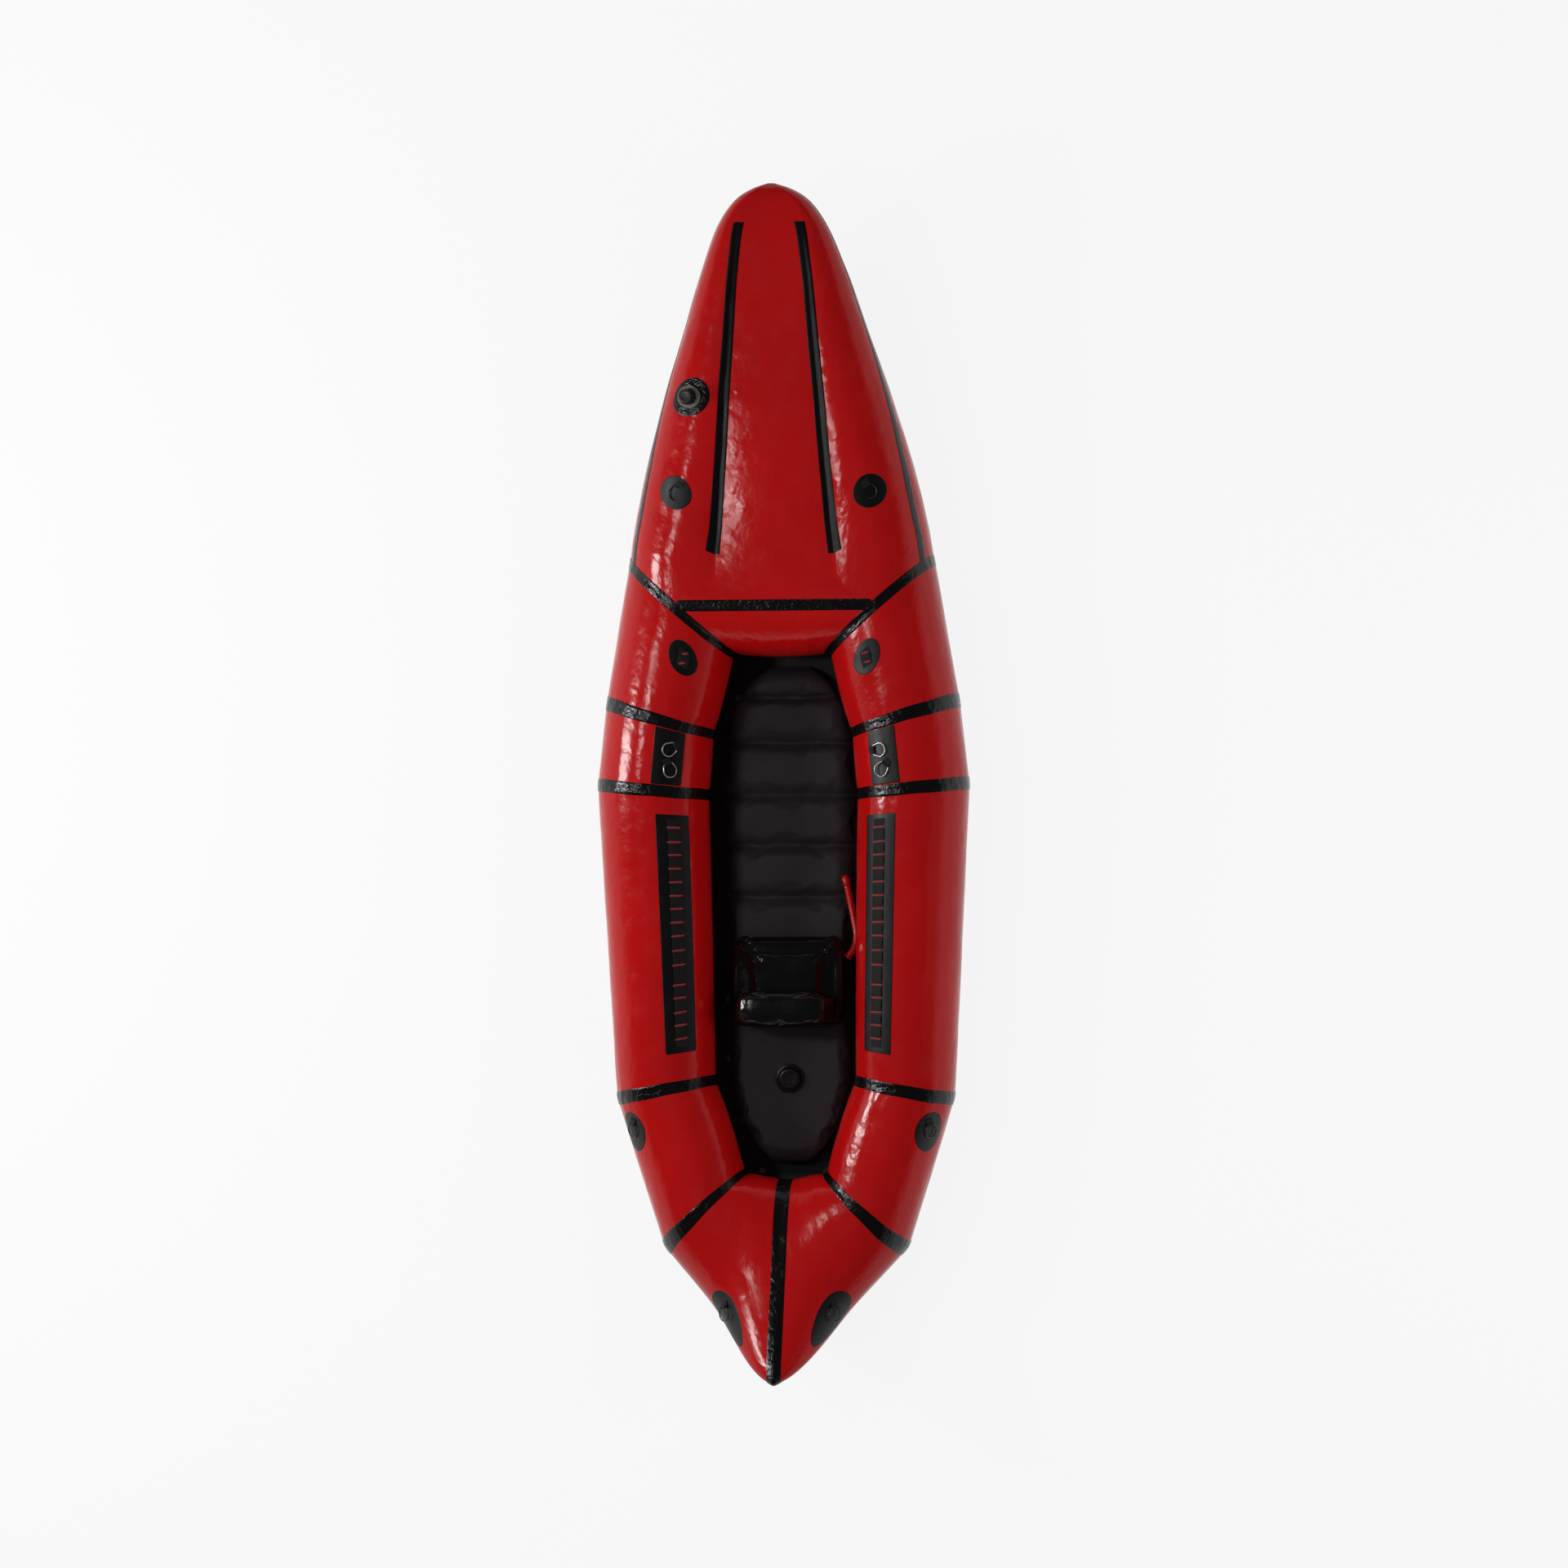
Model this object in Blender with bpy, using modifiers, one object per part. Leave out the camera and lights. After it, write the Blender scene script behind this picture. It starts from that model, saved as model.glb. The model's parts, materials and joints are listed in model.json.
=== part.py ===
"""Self-bailing inflatable packraft, bow towards +Y, standing on its floor sheet at z = 0. Metres."""

import math

import bmesh
import bpy
from mathutils import Matrix, Vector

# Hull sizes
overall_length = 2.90
overall_beam = 0.9164
tube_radius = 0.1375
fabric_wall = 0.0010
clearance = 0.0003
tape_width = 0.030
tape_thickness = 0.0010
strip_width = 0.028
side_seam_height = 0.0690
bow_tip_lift = 0.1450
stern_tip_lift = 0.2200
wall_bulge = 0.010

# Floor sizes
floor_thickness = 0.0015
floor_margin = 0.030
floor_front_reach = 0.020
drain_diameter = 0.018
drain_inset = 0.016
mat_thickness = 0.055
mat_side_gap = 0.012
mat_front_gap = 0.030
mat_rear_gap = 0.024
mat_channel_half_width = 0.018
mat_crease_depth = 0.008
mat_crease_half_width = 0.016

# Seat sizes
seat_front_share = -0.2490
seat_length_share = 0.1648
seat_height = 0.075
seat_side_gap = 0.034
backrest_height = 0.086
backrest_depth = 0.084
backrest_lean_degrees = 6.0
hose_diameter = 0.017
hose_collar_diameter = 0.024
hose_collar_length = 0.005
hose_outlet_length = 0.026
mouth_valve_diameter = 0.020
mouth_valve_length = 0.024
# The seat hose's route: outward of the seat's side, ahead of its front and above its base
hose_route = ((0.0035, -0.0620, 0.0239), (0.0178, -0.0444, 0.0225), (0.0246, -0.0280, 0.0200),
              (0.0269, -0.0104, 0.0168), (0.0254, 0.0037, 0.0141), (0.0175, 0.0408, 0.0090),
              (0.0096, 0.0779, 0.0056), (0.0017, 0.1150, 0.0036))

# Fitting sizes
lash_patch_width = 0.084
lash_patch_share = 0.4069
patch_thickness = 0.0008
bow_patch_lift = 0.0011
webbing_width = 0.030
webbing_thickness = 0.0012
webbing_slack = 0.0022
bartack_length = 0.0055
ring_patch_width = 0.078
ring_patch_length = 0.141
round_patch_radius = 0.042
ring_outer_diameter = 0.036
ring_wire_diameter = 0.0030
ring_bar_length = 0.026
tab_width = 0.018
tab_length = 0.0145
tab_thickness = 0.0011
eye_clearance = 0.0005
weld_depth_share = 0.40

# Main valve sizes
valve_flange_radius = 0.049
valve_flange_thickness = 0.0020
valve_body_radius = 0.0275
valve_body_height = 0.017
valve_bore_radius = 0.0175
valve_floor_height = 0.003
diaphragm_thickness = 0.0010
valve_cap_radius = 0.020
valve_cap_height = 0.031
valve_spigot_length = 0.008
cap_rib_count = 12
cap_rib_depth = 0.0022

# Mat valve sizes
mat_valve_radius = 0.036
mat_flange_thickness = 0.0022
mat_boss_radius = 0.021
mat_boss_height = 0.012
mat_bore_radius = 0.016
plunger_radius = 0.0125
plunger_stem_radius = 0.004
plunger_travel = 0.004
spring_wire = 0.0012
spring_turns = 3.0
mat_cap_radius = 0.027
mat_cap_height = 0.0165
mat_cap_wall = 0.0020

# Finishes: red, green, blue, roughness, metallic
RED_FABRIC = (0.50, 0.010, 0.012, 0.28, 0.0)
BLACK_FABRIC = (0.008, 0.008, 0.010, 0.30, 0.0)
MAT_FABRIC = (0.020, 0.020, 0.023, 0.55, 0.0)
SEAT_FABRIC = (0.006, 0.007, 0.007, 0.22, 0.0)
WEBBING = (0.010, 0.010, 0.012, 0.75, 0.0)
STEEL = (0.62, 0.60, 0.60, 0.22, 1.0)
BLACK_PLASTIC = (0.012, 0.012, 0.013, 0.40, 0.0)
GREY_PLASTIC = (0.42, 0.43, 0.45, 0.35, 0.0)

# Values worked out from the sizes above
half_length = overall_length / 2
half_beam = overall_beam / 2
seat_front = seat_front_share * half_length
seat_length = seat_length_share * half_length
lash_patch_length = lash_patch_share * half_length
tape_half = tape_width / 2
strip_half = strip_width / 2
tape_layers = clearance + tape_thickness
sole_height = floor_thickness + clearance + tape_layers
seam_angle = math.degrees(math.asin(side_seam_height / tube_radius))
tape_angle = math.degrees(tape_half / tube_radius)

# Seams of the right tube, bow to stern: outer point as shares of half the beam and
# half the length, the seam's plan angle in degrees, its radius and its plan stretch as shares
seam_shares = {
    "bow": (0.815, 0.376, 41.9, 1.000, 1.2465),
    "shoulder": (0.9457, 0.138, 16.3, 1.000, 0.9980),
    "waist": (0.996, 0.000, 5.0, 1.000, 1.0000),
    "quarter": (0.9057, -0.526, -10.0, 0.890, 1.0090),
    "stern": (0.6543, -0.777, -42.0, 0.890, 1.1020),
}
# Stern rings: outer point as a share of the stern seam's own, its share of the way aft to
# the tip, inner point's share, share of the tip's lift, and the thinning towards the tip
stern_shares = (
    (0.588, 0.42, 0.50, 0.20, 0.15),
    (0.126, 0.935, 0.10, 0.88, 0.41),
    (0.000, 1.000, 0.00, 1.00, 0.45),
)
# Bow rings: outer point as shares of half the beam and half the length, plan angle, lobe
# radius as a share of the tube's, share of the tip's lift, valley angle, and half the
# distance between the deck strips as a share of half the beam
bow_shares = (
    (0.7934, 0.4170, 30.0, 0.993, 0.04, 108.0, 0.339),
    (0.7706, 0.4530, 26.0, 0.985, 0.07, 114.0, 0.319),
    (0.7456, 0.4910, 20.0, 0.978, 0.11, 117.0, 0.301),
    (0.6266, 0.6270, 6.0, 0.870, 0.31, 112.0, 0.259),
    (0.4838, 0.7634, 0.0, 0.690, 0.55, 106.0, 0.222),
    (0.3754, 0.8655, 0.0, 0.520, 0.75, 101.0, 0.195),
    (0.2848, 0.9338, 0.0, 0.375, 0.89, 97.0, 0.163),
    (0.1844, 0.9752, 0.0, 0.255, 0.96, 95.0, 0.104),
    (0.0850, 0.9931, 0.0, 0.140, 0.99, 93.0, 0.051),
    (0.0140, 1.0000, 0.0, 0.022, 1.00, 91.0, 0.007),
)
first_strip_ring = 1
last_strip_ring = 6
seam_drop_shares = (1.0, 1.0, 0.97, 0.62, 0.18, -0.05, -0.20, -0.30, -0.30, -0.30)
# Rows of facets over a tube, as shares of the arcs above and below the side seam
upper_row_shares = (0.28, 0.56, 0.84)
lower_row_shares = (0.12, 0.30, 0.52, 0.76, 1.0)
inner_row_degrees = (-116.0, -142.0, -166.0, 172.0, 156.0, 141.0, 126.0, 111.0)
deck_row_shares = (0.0, 0.40, 0.75)
stern_row_shares = (0.25, 0.50, 0.75)

# Mat and seat shares
mat_channel_shares = (0.060, 0.156, 0.260, 0.362, 0.463)
mat_channel_depth_share = 0.36
mat_end_shares = ((0.0, 0.42, 0.30), (0.012, 0.62, 0.72), (0.030, 0.80, 0.92))
mat_aft_shares = (0.56, 0.66, 0.74, 0.80, 0.86, 0.92)
mat_crease_shares = (0.70, 0.775)
mat_valve_share = 0.8315
pillow_row_shares = ((0.0, 0.86), (0.10, 0.955), (0.32, 1.0), (0.60, 0.985),
                     (0.80, 0.93), (0.93, 0.80), (0.985, 0.52))
pillow_drawn_in_share = 0.045
backrest_narrowing_share = 0.26
backrest_place_share = 0.785

# Places of the fittings: first ring, share of the way to the next, angle round the tube
drain_shares = (("bow", 0.55), ("shoulder", 0.55), ("waist", 0.30), ("waist", 0.72),
                ("waist", 0.93), ("quarter", 0.45), ("stern", 0.10))
lash_place = ("waist", 0.482, 118.5)
ring_patch_place = ("shoulder", 0.50, 111.5)
loop_place = ("bow", 0.36, 109.0)
tie_places = {"bow": ("bow_2", 0.13, 76.0), "quarter": ("quarter", 0.24, 38.0),
              "stern": ("stern_0", 0.32, 31.0)}
main_valve_place = ("bow_3", 0.17, 71.0)
lash_bar_shares = (-0.446, -0.385, -0.331, -0.274, -0.217, -0.160, -0.105, -0.048,
                   0.009, 0.070, 0.131, 0.215, 0.269, 0.330, 0.384, 0.441)
loop_bar_shares = (-0.145, 0.145)
steel_rings = {"front_left": (-1, 0.158, 0.02, -60.0), "rear_left": (-1, -0.228, -0.08, 25.0),
               "front_right": (1, 0.142, -0.06, 88.0), "rear_right": (1, -0.235, -0.07, -45.0)}
round_column_shares = (0.20, 0.56, 0.80, 0.94, 0.992)
lash_end_share = 0.035
loop_end_share = 0.12
max_ring_tilt_degrees = 12.0
ring_tilt_step_degrees = 0.25
tie_headings = {"bow": 15.0, "quarter": 30.0, "stern": 40.0}

for old in list(bpy.data.objects):
    bpy.data.objects.remove(old, do_unlink=True)
packraft = bpy.data.collections.new("packraft")
bpy.context.scene.collection.children.link(packraft)
welded_on = bpy.data.collections.new("welded_on")
bpy.context.scene.collection.children.link(welded_on)


# Small helpers

def material(name, finish):
    made = bpy.data.materials.new(name)
    made.use_nodes = True
    shader = made.node_tree.nodes["Principled BSDF"]
    shader.inputs["Base Color"].default_value = (finish[0], finish[1], finish[2], 1.0)
    shader.inputs["Roughness"].default_value = finish[3]
    shader.inputs["Metallic"].default_value = finish[4]
    made.diffuse_color = (finish[0], finish[1], finish[2], 1.0)
    return made


def place(name, data, finish, matrix=None):
    made = bpy.data.objects.new(name, data)
    packraft.objects.link(made)
    data.materials.append(material(name, finish))
    if matrix is not None:
        made.matrix_world = matrix
    return made


def closed_mesh(name, bm):
    """A mesh from the faces made so far, all of them facing outward."""
    bmesh.ops.recalc_face_normals(bm, faces=bm.faces)
    if bm.calc_volume(signed=True) < 0:
        bmesh.ops.reverse_faces(bm, faces=bm.faces)
    data = bpy.data.meshes.new(name)
    bm.to_mesh(data)
    bm.free()
    return data


def mesh_object(name, bm, finish, matrix=None):
    data = closed_mesh(name, bm)
    data.shade_smooth()
    data.set_sharp_from_angle(angle=math.radians(50))
    return place(name, data, finish, matrix)


def weld_on(base, name, bm):
    """Joins a piece, or several, to the object that carries it."""
    piece = bpy.data.objects.new(name, closed_mesh(name, bm))
    welded_on.objects.link(piece)
    piece.hide_render = True
    piece.display_type = "WIRE"
    union = base.modifiers.new(name, "BOOLEAN")
    union.operation = "UNION"
    union.solver = "EXACT"
    union.object = piece


def mix(a, b, share):
    return a + (b - a) * share


def flip(points, side):
    """The points on the right side, or mirrored to the left where side is -1."""
    return [Vector((side * p.x, p.y, p.z)) for p in points]


def add_grid(bm, rows, around, mirrored=None):
    """Two triangles for each cell of a grid of vertices; mirrored says which cells split the other way."""
    columns = len(rows[0])
    last = columns if around else columns - 1
    for k, (low, high) in enumerate(zip(rows, rows[1:])):
        for i in range(last):
            j = (i + 1) % columns
            if mirrored is not None and mirrored(k, i):
                bm.faces.new((low[i], low[j], high[j]))
                bm.faces.new((low[i], high[j], high[i]))
            else:
                bm.faces.new((low[i], low[j], high[i]))
                bm.faces.new((low[j], high[j], high[i]))


def add_sheet(bm, outside, inside, around=False, mirrored=None):
    """A closed sheet of material between two grids of points."""
    outer = [[bm.verts.new(p) for p in row] for row in outside]
    inner = [[bm.verts.new(p) for p in row] for row in inside]
    add_grid(bm, outer, around, mirrored)
    add_grid(bm, inner, around, mirrored)
    for edge in (0, -1):
        add_grid(bm, [outer[edge], inner[edge]], around)
    if not around:
        for edge in (0, -1):
            add_grid(bm, [[row[edge] for row in outer], [row[edge] for row in inner]], False)


def add_loft(bm, rings, top=None, bottom=None):
    """A closed solid through rings of points, with a flat or pointed cap at each end."""
    rows = [[bm.verts.new(p) for p in ring] for ring in rings]
    add_grid(bm, rows, True)
    for row, point in ((rows[0], bottom), (rows[-1], top)):
        if point is None:
            bm.faces.new(row)
            continue
        tip = bm.verts.new(point)
        for i, vertex in enumerate(row):
            bm.faces.new((vertex, row[(i + 1) % len(row)], tip))


def turned(name, profile, finish, matrix, steps=20):
    """A body of revolution about local Z from a closed or axis-to-axis profile of (radius, height)."""
    data = bpy.data.meshes.new(name)
    points = [(radius, 0.0, height) for radius, height in profile]
    edges = [(i, i + 1) for i in range(len(points) - 1)]
    if profile[0][0] > 0:
        edges.append((len(points) - 1, 0))
    data.from_pydata(points, edges, [])
    made = place(name, data, finish, matrix)
    screw = made.modifiers.new("turn", "SCREW")
    screw.axis = "Z"
    screw.steps = steps
    screw.render_steps = steps
    screw.use_merge_vertices = True
    screw.merge_threshold = 0.00001
    screw.use_smooth_shade = True
    return made


def wire(name, points, diameter, finish, cyclic=False, resolution=1, matrix=None, widths=None):
    data = bpy.data.curves.new(name, "CURVE")
    data.dimensions = "3D"
    data.bevel_depth = diameter / 2
    data.bevel_resolution = resolution
    data.use_fill_caps = not cyclic
    spline = data.splines.new("POLY")
    spline.points.add(len(points) - 1)
    for spot, p in zip(spline.points, points):
        spot.co = (p[0], p[1], p[2], 1.0)
    for spot, width in zip(spline.points, widths or ()):
        spot.radius = width
    spline.use_cyclic_u = cyclic
    return place(name, data, finish, matrix)


# Rings that the hull is drawn through

class Ring:
    """An upright ellipse across a tube, drawn for the right side of the raft."""

    def __init__(self, outer, inner, middle, height, rise=0.0, thinning=0.0, inner_span=None):
        self.outer = Vector(outer)
        self.inner = Vector(inner)
        self.middle = middle
        self.height = height
        self.rise = rise
        self.thinning = thinning
        self.inner_span = inner_span

    def centre(self):
        flat = (self.outer + self.inner) / 2
        return Vector((flat.x, flat.y, self.middle))

    def span(self):
        return (self.outer - self.inner).length / 2

    def point(self, degrees, grow=0.0):
        turn = math.radians(degrees)
        reach = (self.outer - self.inner).normalized()
        span = self.span()
        if self.inner_span is not None and math.cos(turn) < 0 < math.sin(turn):
            span = self.inner_span
        outward = (1 + math.cos(turn)) / 2
        along = (span + grow) * math.cos(turn)
        up = (self.height * (1 - self.thinning * outward) + grow) * math.sin(turn)
        flat = (self.outer + self.inner) / 2 + reach * along
        return Vector((flat.x, flat.y, self.middle + up + self.rise * outward ** 2))

    def between(self, other, share):
        span = None
        if self.inner_span is not None or other.inner_span is not None:
            span = mix(self.inner_span or self.span(), other.inner_span or other.span(), share)
        return Ring(mix(self.outer, other.outer, share), mix(self.inner, other.inner, share),
                    mix(self.middle, other.middle, share), mix(self.height, other.height, share),
                    mix(self.rise, other.rise, share), mix(self.thinning, other.thinning, share),
                    span)


def hull_rings():
    rings = {}
    for number in range(len(bow_shares) - 1, -1, -1):
        x, y, angle, radius, lift, valley, strip = bow_shares[number]
        radius = radius * tube_radius
        turn = math.radians(angle)
        outer = Vector((x * half_beam, y * half_length))
        inner = outer - 2 * radius * Vector((math.cos(turn), math.sin(turn)))
        middle = sole_height + tube_radius + lift * bow_tip_lift
        lobe = Ring(outer, inner, middle, radius)
        reach = lobe.centre().x - strip * half_beam
        lobe.inner_span = reach / (math.cos(turn) * -math.cos(math.radians(valley)))
        rings[f"bow_{number}"] = lobe
    for name, (x, y, angle, radius, stretch) in seam_shares.items():
        radius = radius * tube_radius
        turn = math.radians(angle)
        outer = Vector((x * half_beam, y * half_length))
        inner = outer - 2 * radius * stretch * Vector((math.cos(turn), math.sin(turn)))
        rings[name] = Ring(outer, inner, sole_height + radius, radius)
    last = rings["stern"]
    tip = -half_length
    for number, (x, aft, inner_share, lift, thinning) in enumerate(stern_shares):
        outer = Vector((x * last.outer.x, mix(last.outer.y, tip, aft)))
        inner = Vector((inner_share * last.inner.x, mix(last.inner.y, last.inner.y - tape_half, aft)))
        rings[f"stern_{number}"] = Ring(outer, inner, last.middle, last.height,
                                        lift * stern_tip_lift, thinning)
    return rings


rings = hull_rings()
ring_names = list(rings)
seam_names = list(seam_shares)
sides = ((-1, "left"), (1, "right"))


def upper_rows(top, seam, width):
    """Angles from the top of a tube down to the upper edge of the side seam's tape."""
    return [top] + [mix(top, seam + width, share) for share in upper_row_shares] + [seam + width]


def lower_rows(seam, width):
    return [seam - width] + [mix(seam - width, -90.0, share) for share in lower_row_shares]


outer_angles = upper_rows(90.0, seam_angle, tape_angle) + [seam_angle] + lower_rows(seam_angle, tape_angle)
inner_angles = list(inner_row_degrees) + [90.0 + tape_angle]
inner_top = next(i for i, angle in enumerate(inner_angles) if angle > 0)
tube_angles = outer_angles + inner_angles


def loop(ring, grow, angles=tube_angles):
    return [ring.point(angle, grow) for angle in angles]


def share_for(first, second, length):
    """The share of the way from one ring's centre to the next that is this long."""
    return length / (second.centre() - first.centre()).length


# Red tubes and the black tapes over their seams

def tube_section_rings(first, second, extra):
    """Rings of one tube section: its ends at the seams, its tape edges and those between."""
    start, end = rings[first], rings[second]
    gap = share_for(start, end, clearance)
    edge = share_for(start, end, tape_half)
    shares = [gap, edge] + [mix(edge, 1 - edge, share) for share in extra] + [1 - edge, 1 - gap]
    return [start.between(end, share) for share in shares]


def stern_section_rings():
    start, first, second, tip = (rings[name] for name in ("stern", "stern_0", "stern_1", "stern_2"))
    found = [start.between(first, share_for(start, first, clearance)),
             start.between(first, share_for(start, first, tape_half)),
             first] + [first.between(second, share) for share in stern_row_shares] + [second]
    end = second.between(tip, 1 - clearance / second.outer.x)
    return found + [second.between(tip, stern_tape_share()), end]


def stern_tape_share():
    return 1 - tape_half / rings["stern_1"].outer.x


def tube(name, section, side):
    bm = bmesh.new()
    outside = [flip(loop(ring, 0.0), side) for ring in section]
    inside = [flip(loop(ring, -fabric_wall), side) for ring in section]
    add_sheet(bm, outside, inside, True)
    mesh_object(name, bm, RED_FABRIC)


def side_section_rings():
    """The side tube runs on under the waist tape, from the shoulder seam to the quarter seam."""
    front = tube_section_rings("shoulder", "waist", ())
    rear = tube_section_rings("waist", "quarter", (0.5,))
    return front[:-1] + [rings["waist"]] + rear[1:]


def tubes():
    sections = {"front_tube": tube_section_rings("bow", "shoulder", (0.5,)),
                "side_tube": side_section_rings(),
                "quarter_tube": tube_section_rings("quarter", "stern", ()),
                "stern_tube": stern_section_rings()}
    for name, section in sections.items():
        for side, word in sides:
            tube(f"{name}_{word}", section, side)


def seam_tapes():
    for before, seam, after in zip(seam_names, seam_names[1:], seam_names[2:] + ["stern_0"]):
        here = rings[seam]
        section = [here.between(rings[before], share_for(here, rings[before], tape_half)), here,
                   here.between(rings[after], share_for(here, rings[after], tape_half))]
        for side, word in sides:
            bm = bmesh.new()
            add_sheet(bm, [flip(loop(ring, tape_layers), side) for ring in section],
                      [flip(loop(ring, clearance), side) for ring in section], True)
            mesh_object(f"{seam}_seam_tape_{word}", bm, BLACK_FABRIC)


def stern_centre_tape():
    edge = rings["stern_1"].between(rings["stern_2"], stern_tape_share())
    bm = bmesh.new()
    layers = []
    for grow in (tape_layers, clearance):
        right = loop(edge, grow)
        layers.append([flip(right, -1), loop(rings["stern_2"], grow), right])
    add_sheet(bm, layers[0], layers[1], True, lambda row, column: row == 1)
    mesh_object("stern_centre_tape", bm, BLACK_FABRIC)


# Bow: two side lobes and a centre lobe, between a sheer seam and the cockpit

def bow_sections():
    """The bow's rings in order, each with its valley, side seam angle and strip edge in degrees."""
    found = []
    first = rings["bow"]
    nearest = rings["bow_0"]
    edge = share_for(first, nearest, tape_half)
    valley = bow_shares[0][5]
    found.append((first, 90.0, seam_angle, tape_angle, False))
    found.append((first.between(nearest, edge), mix(90.0, valley, edge), seam_angle, tape_angle, False))
    for number, shares in enumerate(bow_shares):
        ring = rings[f"bow_{number}"]
        seam = seam_angle * seam_drop_shares[number]
        width = math.degrees(min(tape_half / ring.height, 0.5))
        found.append((ring, shares[5], seam, width, number >= first_strip_ring))
    return found


def upper_bow_angles(section):
    ring, valley, seam, width, has_strip = section
    angles = upper_rows(valley, seam, width)
    if has_strip:
        angles[1] = max(valley - math.degrees(strip_half / ring.height), mix(angles[0], angles[2], 0.5))
    return angles


def bow_rows(section, grow):
    """One row of points from the deck's centre line round the right side to the keel line."""
    ring, valley, seam, width = section[:4]
    corner = ring.point(valley, grow)
    crown = ring.point(90.0, grow).z - corner.z
    strip_edge = max(1 - strip_half / max(corner.x, strip_half), deck_row_shares[-1] + 0.1)
    deck = []
    for share in deck_row_shares + (strip_edge,):
        deck.append(Vector((corner.x * share, corner.y, corner.z + crown * (1 - share ** 2))))
    halves = math.degrees(clearance / ring.height)
    above = [ring.point(angle, grow) for angle in upper_bow_angles(section) + [seam + halves]]
    below = [ring.point(angle, grow) for angle in [seam - halves] + lower_rows(seam, width)]
    keel = ring.point(-90.0, grow)
    below += [Vector((keel.x * share, keel.y, keel.z)) for share in (0.5, 0.0)]
    return deck + above, below


def across(half):
    """A whole row across the raft from a row between the centre line and the right side."""
    if abs(half[0].x) < abs(half[-1].x):
        return flip(half[:0:-1], -1) + half
    return half + flip(half[-2::-1], -1)


def bow_panels():
    sections = bow_sections()[::-1]
    for name, which in (("bow_deck_panel", 0), ("bow_hull_panel", 1)):
        layers = []
        for grow in (0.0, -fabric_wall):
            rows = [across(bow_rows(section, grow)[which]) for section in sections]
            middle = len(rows[-1]) // 2
            forward = (rows[-2][middle] - rows[-1][middle]).normalized()
            rows[-1] = [p + forward * clearance for p in rows[-1]]
            layers.append(rows)
        bm = bmesh.new()
        add_sheet(bm, layers[0], layers[1], False, lambda row, column: (column < middle) == (which == 0))
        mesh_object(name, bm, RED_FABRIC)


def wall_columns(grow):
    """Columns of the rounded wall between the two bow seams, from left to right."""
    start = rings["bow"]
    angles = [90.0 + tape_angle * clearance / tape_half] + inner_angles[::-1] + [-90.0]
    right = [start.point(angle, grow) for angle in angles]
    centre = start.centre()
    columns = []
    for step in (clearance * 2, tape_half):
        columns.append([p - Vector((step, 0, 0)) for p in right])
    middle = []
    for p in right:
        out = Vector((0, p.y - centre.y, p.z - centre.z))
        bulge = wall_bulge * max(0.0, -out.y) / tube_radius
        middle.append(Vector((0, p.y, p.z)) + out.normalized() * bulge)
    return [flip(columns[0], -1), flip(columns[1], -1), middle, columns[1], columns[0]]


def cockpit_wall():
    bm = bmesh.new()
    add_sheet(bm, wall_columns(0.0), wall_columns(-fabric_wall))
    mesh_object("bow_cockpit_wall", bm, RED_FABRIC)


def bow_seam_tape():
    """Tape round both bow seams, joined by the tape across the deck's rear edge."""
    seam = rings["bow"]
    behind = seam.between(rings["shoulder"], share_for(seam, rings["shoulder"], tape_half))
    section = bow_sections()[1]
    front, front_seam, front_width = section[0], section[2], section[3]
    front_outer = upper_bow_angles(section) + [front_seam] + lower_rows(front_seam, front_width)
    part = tape_angle * clearance / tape_half
    inner = [-90.0 - part] + inner_angles + [90.0 + part]
    shift = Vector((tape_half, 0, 0))
    rows = {}
    for grow in (tape_layers, clearance):
        rows[grow] = [loop(front, grow, front_outer) + [p - shift for p in loop(seam, grow, inner)],
                      loop(seam, grow, outer_angles + inner), loop(behind, grow, outer_angles + inner)]
    made = None
    for side in (-1, 1):
        bm = bmesh.new()
        add_sheet(bm, [flip(row, side) for row in rows[tape_layers]],
                  [flip(row, side) for row in rows[clearance]], True)
        if made is None:
            made = mesh_object("bow_seam_tape", bm, BLACK_FABRIC)
        else:
            weld_on(made, "bow_seam_tape_right", bm)
    bm = bmesh.new()
    lift = tape_thickness * weld_depth_share
    rows = cross_rows(tape_layers + lift)
    middle = len(rows[0]) // 2
    add_sheet(bm, rows, cross_rows(clearance + lift), False, lambda row, column: row == 0 and column < middle)
    weld_on(made, "bow_cross_tape", bm)


def cross_rows(grow):
    """Rows across the deck's rear edge: on the deck, at the edge and on the rounded wall."""
    deck = bow_rows(bow_sections()[1], grow)[0][:len(deck_row_shares) + 2]
    top = rings["bow"].point(90.0, grow)
    columns = wall_columns(grow)
    low, crown = columns[3][1], columns[2][1]
    back = []
    for p in deck:
        share = 1 - p.x / deck[-1].x
        rear = mix(low.y, crown.y, share) - clearance * 2
        back.append(Vector((p.x, rear, mix(low.z, crown.z, share))))
    return [across(deck), across([Vector((p.x, top.y, top.z)) for p in deck]), across(back)]


def strip_rows(grow):
    rows = []
    for section in bow_sections()[last_strip_ring + 2:first_strip_ring + 1:-1]:
        deck = bow_rows(section, grow)[0]
        start = len(deck_row_shares)
        rows.append(deck[start:start + 3])
    return rows


def bow_deck_strips():
    for side, word in sides:
        bm = bmesh.new()
        add_sheet(bm, [flip(row, side) for row in strip_rows(tape_layers)],
                  [flip(row, side) for row in strip_rows(clearance)])
        mesh_object(f"bow_deck_strip_{word}", bm, BLACK_FABRIC)


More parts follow.
